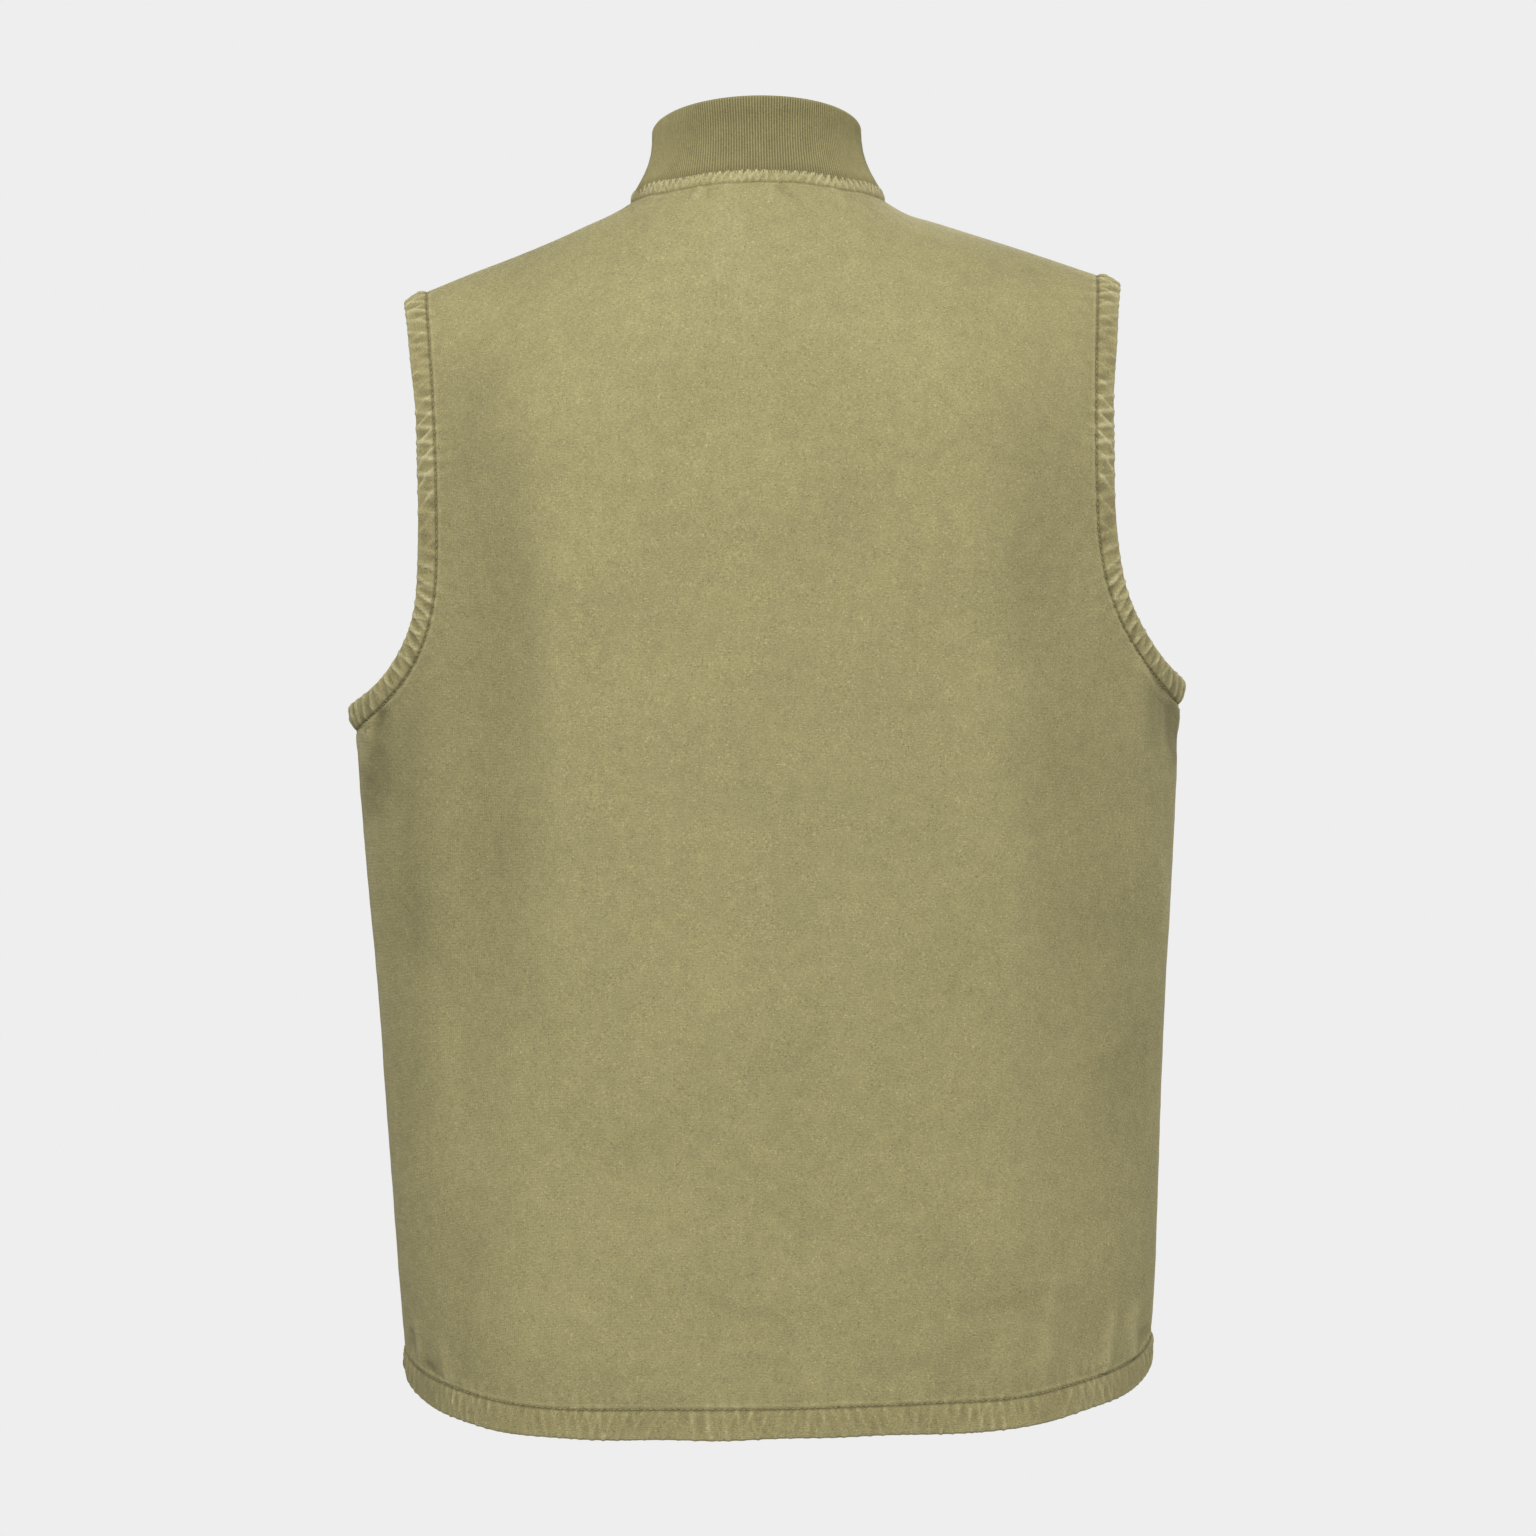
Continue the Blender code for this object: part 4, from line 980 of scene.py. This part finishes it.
def collar_frames(spacing):
    """The collar's seam and top edge, the ways up and outward, and the run along the seam."""
    points, normals, run = respaced(*neck_line(), spacing)
    lift = max(NECK_SECTION["out"]) + PIECE_GAP
    seam = points + frames_along(points, normals, 1, FRONT_ENDS) * lift + normals * (RIB - CLOTH_SOLID) / 2
    angle = np.arctan2(seam[:, 0], seam[:, 1])
    last = math.pi - math.asin(FRONT_EDGE / COLLAR_TOP_HALF)
    top = collar_top(angle * last / abs(angle[0]))
    up = unit(top - seam)
    return seam, top, up, smoothed(frames_along(seam, up, 1, FRONT_ENDS), 4), run


def add_collar():
    seam, top, up, away, run = collar_frames(RIB_PITCH / RIB_STEPS)
    height = np.linalg.norm(top - seam, axis=1, keepdims=True)
    radius = RIB / 2
    wave = np.cos(2 * math.pi * run / RIB_PITCH)[:, None]
    low = -COLLAR_TUCK / float(height.mean())

    def bow(share):
        return COLLAR_BELLY * math.sin(math.pi * share * 0.85)

    # across the knit, up its outer face, over the fold and down its inner face: how far up the collar,
    # how far out, how far round the fold, and the way the ribs stand
    profile = [(low, -0.65 * RIB, 0.0, 1.0)]
    profile += [(share, bow(share), 0.0, 1.0) for share in np.linspace(0, 1, COLLAR_ROWS)]
    inside = [(share, out, math.pi, -1.0) for share, out, turn, side in reversed(profile[1::2])]
    folds = np.linspace(0, math.pi, COLLAR_FOLD_STEPS + 2)[1:-1]
    profile += [(1.0, bow(1.0), turn, math.cos(turn)) for turn in folds]
    profile += [*inside, (low, 0.0, math.pi, -1.0)]
    sections, shade, grain = [], [], []
    for share, out, turn, side in profile:
        above = max(share, 0) * COLLAR_MEAN
        along = seam + up * (height - radius) * share + up * radius * math.sin(turn)
        rib = wave * RIB_PROUD * (1.0 if turn in (0.0, math.pi) else 0.75) * side
        tuck = 1 - RIB_AT_SEAM["share"] * bell(above, RIB_AT_SEAM["wide"])
        sections.append(along + away * (out - (radius - radius * math.cos(turn)) + rib * tuck))
        # painted shade at the rib's seam and in the valleys between its ribs, and painted light on the ribs
        dark = SHADE["rib_seam"] * bell(above, RIB_AT_SEAM["dark_wide"])
        shade.append(0.5 + SHADE["rib"] * wave[:, 0] * tuck - dark)
        grain.append(np.stack(np.broadcast_arrays(run, share * COLLAR_MEAN + turn * radius, 0.0), -1))
    sections = np.stack(sections, axis=1)
    faces, shade, grain = ring_grid(sections, False), np.stack(shade, 1), np.stack(grain, 1)
    piece = add_mesh("collar_knit", sections, faces, shade, grain, rib_knit)
    worn_on_vest(piece, "collar_rib")


# --- zip
def zip_line():
    """The middle of the front, collar top to hem, on the cloth's outer face, with its outward normals."""
    seam, top = collar_frames(ZIP_COLLAR_SPACING)[:2]
    collar_low, collar_high = (np.array([0, end[0, 1], end[0, 2]]) for end in (seam, top))
    low = edge("front", SIDES["left"], 0, np.linspace(0, 2, ZIP_STATIONS[0]))[0]
    low[:, 0] = 0
    hem_end = low[0] + unit(low[0] - low[1]) * ZIP_BELOW_PANEL
    collar = np.linspace(collar_low, collar_high, ZIP_STATIONS[1] + 1)
    points = np.concatenate([[hem_end], low, collar])[::-1]
    return points, unit(np.cross(np.gradient(points, axis=0), (1, 0, 0)))


def from_top(distance):
    """Points and normals of the zip line, this far down it from the collar's top."""
    return read_at(distance, zip_run, zip_middle[0]), unit(read_at(distance, zip_run, zip_middle[1]))


def add_tape(side_name):
    along = np.arange(TAPE_BELOW_TOP, zip_run[-1], TAPE_STEP)
    point, normal = from_top(along)
    sideways = np.array([SIDES[side_name]["sign"], 0, 0])
    sections = np.stack([point + sideways * x + normal * h for x, h in TAPE_SHAPE], axis=1)
    across = np.array([x for x, h in TAPE_SHAPE])
    grain = np.stack(np.broadcast_arrays(along[:, None], across[None], 0.0), -1)
    node = f"zip_tape_{side_name}"
    shade = np.full(sections.shape[:2], 0.5)
    piece = add_mesh(f"{node}_cloth", sections, ring_grid(sections, False), shade, grain, zip_tape)
    worn_on_vest(piece, node)


def add_teeth():
    """Two rows of teeth, each a flat block with a narrower head that locks past the middle."""
    first = CHAIN_BELOW_TOP + TOOTH["long"]
    last = zip_run[-1] - BOX_LONG - TOOTH["long"] - PIECE_GAP
    middle = (CHAIN_PROUD[0] + CHAIN_PROUD[1]) / 2
    half = (CHAIN_PROUD[0] - CHAIN_PROUD[1]) / 2
    bevel, flat = TOOTH["bevel"], half * TOOTH["flat"]
    points, faces = [], []
    for sign, shift in ((1, 0.0), (-1, TOOTH["pitch"] / 2)):
        for start in np.arange(first + shift, last, TOOTH["pitch"]):
            layers = []
            for height, inset in ((-half, bevel), (-flat, 0), (flat, 0), (half, bevel)):
                point, normal = from_top(np.array([start + s * (1 - inset) for x, s in TOOTH_SHAPE]))
                sideways = [[sign * (x - inset * (1 if x > 0 else -1)), 0, 0] for x, s in TOOTH_SHAPE]
                layers.append(point + np.array(sideways) + normal * (middle + height))
            section = np.stack(layers)
            first_point = len(points) * section[..., 0].size
            faces += [tuple(i + first_point for i in f) for f in ring_grid(section, False)]
            points.append(section.reshape(-1, 3))
    points = np.concatenate(points)
    piece = add_mesh("zip_teeth", points, faces, np.full(len(points), 0.5), points, zip_metal, smooth=False)
    worn_on_vest(piece, "zip_chain")


# --- materials
class Shader:
    """A material being made: nodes by kind, with their inputs given as values or as links."""

    def __init__(self, name):
        self.material = bpy.data.materials.new(name)
        self.material.use_nodes = True
        self.nodes = self.material.node_tree.nodes
        self.surface = self.nodes["Principled BSDF"]

    def set(self, node, name, value):
        socket = node.inputs[name]
        if isinstance(value, bpy.types.NodeSocket):
            self.material.node_tree.links.new(value, socket)
        else:
            socket.default_value = value

    def fill(self, node, **inputs):
        for key, value in inputs.items():
            self.set(node, key.replace("_", " "), value)
        return node

    def node(self, kind, settings=None, **inputs):
        made = self.nodes.new("ShaderNode" + kind)
        for key, value in (settings or {}).items():
            setattr(made, key, value)
        return self.fill(made, **inputs)

    def worked(self, kind, settings, values, output=0):
        """One output of a node whose inputs are given by their number or name."""
        made = self.node(kind, settings)
        for name, value in values.items():
            self.set(made, name, value)
        return made.outputs[output]

    def math(self, operation, first, second=0.0):
        return self.worked("Math", {"operation": operation}, {0: first, 1: second})

    def times(self, first, second):
        return self.math("MULTIPLY", first, second)

    def plus(self, first, second):
        return self.math("ADD", first, second)

    def noise(self, vector, scale, detail=2.0, roughness=0.5):
        made = self.node("TexNoise", Vector=vector, Scale=scale, Detail=detail, Roughness=roughness)
        return made.outputs["Fac"]

    def ranged(self, value, low, high, to_low, to_high):
        made = self.node("MapRange", Value=value, From_Min=low, From_Max=high, To_Min=to_low, To_Max=to_high)
        return made.outputs["Result"]

    def mixed(self, factor, first, second):
        return self.worked("Mix", {"data_type": "RGBA"}, {"Factor": factor, 6: first, 7: second}, 2)

    def bumped(self, height, strength, distance):
        made = self.node("Bump", Height=height, Strength=strength, Distance=distance)
        self.set(self.surface, "Normal", made.outputs["Normal"])
        return self.material


def cloth_material(name, colour, look):
    """Washed cloth: broad and fine mottling, light and dark flecks and a weave, with painted shade in
    valleys and seams and a painted highlight with a lighter worn colour on ridges.
    """
    shader = Shader(name)
    place_on = shader.node("TexCoord").outputs["Object"]
    painted_shading = shader.node("Attribute", {"attribute_name": "painted_shading"}).outputs["Fac"]
    grain = shader.node("Attribute", {"attribute_name": "grain"}).outputs["Vector"]
    broad, blotch, mottle, fleck = (shader.noise(place_on, *each) for each in CLOTH_NOISES.values())
    stretched = shader.worked("VectorMath", {"operation": "MULTIPLY"}, {0: grain, 1: look["slub_stretch"]})
    slub = shader.noise(stretched, *SLUB_NOISE)
    tone = shader.ranged(broad, 0.3, 0.7, 1 - look["broad"], 1 + look["broad"])
    for layer, share in ((blotch, look["blotch"]), (mottle, look["mottle"]), (slub, look["slub"])):
        tone = shader.times(tone, shader.ranged(layer, 0.3, 0.7, 1 - share, 1 + share))
    light_fleck = shader.ranged(fleck, 0.60, 0.74, 0.0, look["fleck"])
    dark_fleck = shader.ranged(fleck, 0.40, 0.26, 0.0, look["fleck"] * 0.8)
    tone = shader.times(tone, shader.math("SUBTRACT", shader.plus(light_fleck, 1.0), dark_fleck))
    # painted shade in valleys and seams, and a painted highlight on ridges, from the painted_shading
    # attribute
    low = shader.ranged(painted_shading, 0.0, 0.5, 1 - look["valley"], 1.0)
    high = shader.ranged(painted_shading, 0.5, 1.0, 1.0, 1 + look["ridge"])
    tone = shader.times(tone, shader.times(low, high))
    # where the painted light is high, a lighter colour, for wear and painted highlight
    worn = shader.mixed(shader.ranged(painted_shading, 0.55, 0.95, 0.0, look["worn"]), colour, look["worn_colour"])
    toned = shader.worked("VectorMath", {"operation": "SCALE"}, {"Scale": tone, 0: worn}, "Vector")
    shader.fill(shader.surface, Base_Color=toned, Roughness=look["rough"], Specular_IOR_Level=0.15)
    shader.fill(shader.surface, Sheen_Weight=look["sheen"], Sheen_Roughness=0.5)
    weave = fleck
    if look["weave"]:
        split = shader.node("SeparateXYZ", Vector=grain).outputs
        warp, weft = (
            shader.math("SINE", shader.times(split[axis], math.pi / look["weave"])) for axis in ("X", "Y")
        )
        weave = shader.math("ABSOLUTE", shader.times(warp, weft))
    nap = shader.plus(shader.times(weave, NAP["weave"]), shader.times(mottle, NAP["mottle"]))
    nap = shader.plus(nap, shader.times(blotch, look["crumple"]))
    return shader.bumped(nap, look["bump"], NAP["height"])


def metal_material():
    """Aged brass: dulled, with darker tarnish and brighter rubbed spots."""
    shader = Shader("aged_brass")
    place_on = shader.node("TexCoord").outputs["Object"]
    tarnish = shader.noise(place_on, *BRASS["tarnish"])
    brushed = shader.noise(place_on, *BRASS["brushed"])
    colour = shader.mixed(shader.ranged(tarnish, 0.35, 0.65, 0, 1), BRASS["dark"], BRASS["rubbed"])
    shader.fill(shader.surface, Base_Color=colour, Metallic=1.0)
    shader.fill(shader.surface, Roughness=shader.ranged(tarnish, 0.3, 0.7, *BRASS["rough"]))
    return shader.bumped(brushed, *BRASS["bump"])


canvas = cloth_material("washed_canvas", (0.306, 0.272, 0.130, 1), CLOTH_LOOK)
canvas_band = cloth_material("washed_canvas_edge", (0.295, 0.258, 0.122, 1), BAND_LOOK)
rib_knit = cloth_material("rib_knit_olive", (0.245, 0.215, 0.098, 1), KNIT_LOOK)
zip_tape = cloth_material("zip_tape_weave", (0.15, 0.13, 0.062, 1), TAPE_LOOK)
thread = cloth_material("sewing_thread", (0.29, 0.255, 0.13, 1), THREAD_LOOK)
zip_metal = metal_material()

# --- the vest
armhole_lines = {name: respaced(*armhole_line(side), EDGE_SPACING) for name, side in SIDES.items()}
neck_spaced = respaced(*neck_line(), NECK_SPACING)

halves = [panel_surface("back", "right"), panel_surface("back", "left")]
back = [np.concatenate([right[:, :0:-1], left], axis=1) for right, left in zip(*halves)]
add_panel("back_cloth", back, "back_panel")
for side_name in SIDES:
    parts = panel_surface("front", side_name)
    add_panel(f"front_{side_name}_cloth", parts, f"front_{side_name}_panel")

for side_name, side in SIDES.items():
    line = armhole_lines[side_name]
    # the band leans out furthest at the armhole's lowest point
    lowest = line[2][np.argmin(line[0][:, 2])]
    lean = UNDERARM_FLARE * bell(line[2][:-1] - lowest, UNDERARM_REACH)
    node = f"armhole_band_{side_name}"
    add_band(node, "armhole", ARMHOLE_SECTION, line, side["sign"], ring=True, lean=lean)

for node, face, side_names in (
    ("hem_band_back", "back", ("right", "left")),
    ("hem_band_front_left", "front", ("left",)),
    ("hem_band_front_right", "front", ("right",)),
):
    way = WAY[face]
    turned = (("right", (0, way, 0)), ("left", (0, -way, 0)))
    ends = tuple(at_seam if name in side_names else (1, 0, 0) for name, at_seam in turned)
    line = respaced(*hem_line(face, side_names), EDGE_SPACING)
    add_band(node, "hem", HEM_SECTION, line, -way, ends=ends)

stand = NECK_STAND * np.clip(neck_spaced[1][:, 2], 0, 1)
add_band("neck_band", "neck", NECK_SECTION, neck_spaced, 1, ends=FRONT_ENDS, lean=stand)
add_collar()

zip_middle = zip_line()
zip_run = distance_along(zip_middle[0])
for side_name in SIDES:
    add_tape(side_name)
add_teeth()
for node in ("zip_top_stop_left", "zip_top_stop_right", "zip_bottom_box", "zip_slider", "zip_pull"):
    for material_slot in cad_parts[node].material_slots:
        material_slot.material = zip_metal


# --- studio
def glowing(name, grey, glow):
    shader = Shader(name)
    shader.fill(shader.surface, Base_Color=(grey, grey, grey, 1), Roughness=1.0, Specular_IOR_Level=0.0)
    shader.fill(shader.surface, Emission_Color=(1, 1, 1, 1), Emission_Strength=glow)
    return shader.material


turns = np.linspace(0, 2 * math.pi, STAGE["sides"], endpoint=False)
rim = [(STAGE["radius"] * math.cos(t), STAGE["radius"] * math.sin(t)) for t in turns]
low_rim, high_rim = ([(x, y, STAGE[end]) for x, y in rim] for end in ("low", "high"))
round_it = np.arange(STAGE["sides"])
after = np.roll(round_it, -1)
wall = np.stack([round_it, after, after + STAGE["sides"], round_it + STAGE["sides"]], -1).tolist()
for name, points, faces, material in (
    ("floor", low_rim, [round_it.tolist()], glowing("pale_floor", FLOOR_GREY, FLOOR_GLOW)),
    ("studio_wall", low_rim + high_rim, wall, glowing("pale_wall", 0, WALL_GLOW)),
):
    mesh = bpy.data.meshes.new(name)
    mesh.from_pydata(points, [], faces)
    mesh.materials.append(material)
    stage_piece = linked(name, mesh)
    # only a backdrop: the lamps and the sky light the vest
    stage_piece.visible_diffuse = False
    stage_piece.visible_glossy = name == "floor"

world = bpy.data.worlds.new("studio")
bpy.context.scene.world = world
world.use_nodes = True
sky = world.node_tree.nodes["Background"]
sky.inputs["Color"].default_value = (1, 1, 1, 1)
sky.inputs["Strength"].default_value = SKY_GLOW

for name, spot, size, power in LIGHTS:
    light_data = bpy.data.lights.new(name, "AREA")
    light_data.size = size
    light_data.energy = power
    light = linked(name, light_data)
    light.location = spot
    light.rotation_euler = (AIM - light.location).to_track_quat("-Z", "Y").to_euler()

lens = bpy.data.cameras.new("photo_view")
lens.sensor_width = CAMERA["sensor"]
lens.lens = CAMERA["focal"]
camera = linked("photo_view", lens)
facing = Matrix.Rotation(math.pi, 4, "Z") @ Matrix.Rotation(math.pi / 2, 4, "X")
roll = Matrix.Rotation(math.radians(CAMERA["roll"]), 4, "Z")
camera.matrix_world = Matrix.Translation((0, CAMERA["back"], CAMERA["z"])) @ facing @ roll
bpy.context.scene.camera = camera
bpy.context.scene.view_settings.view_transform = "Standard"
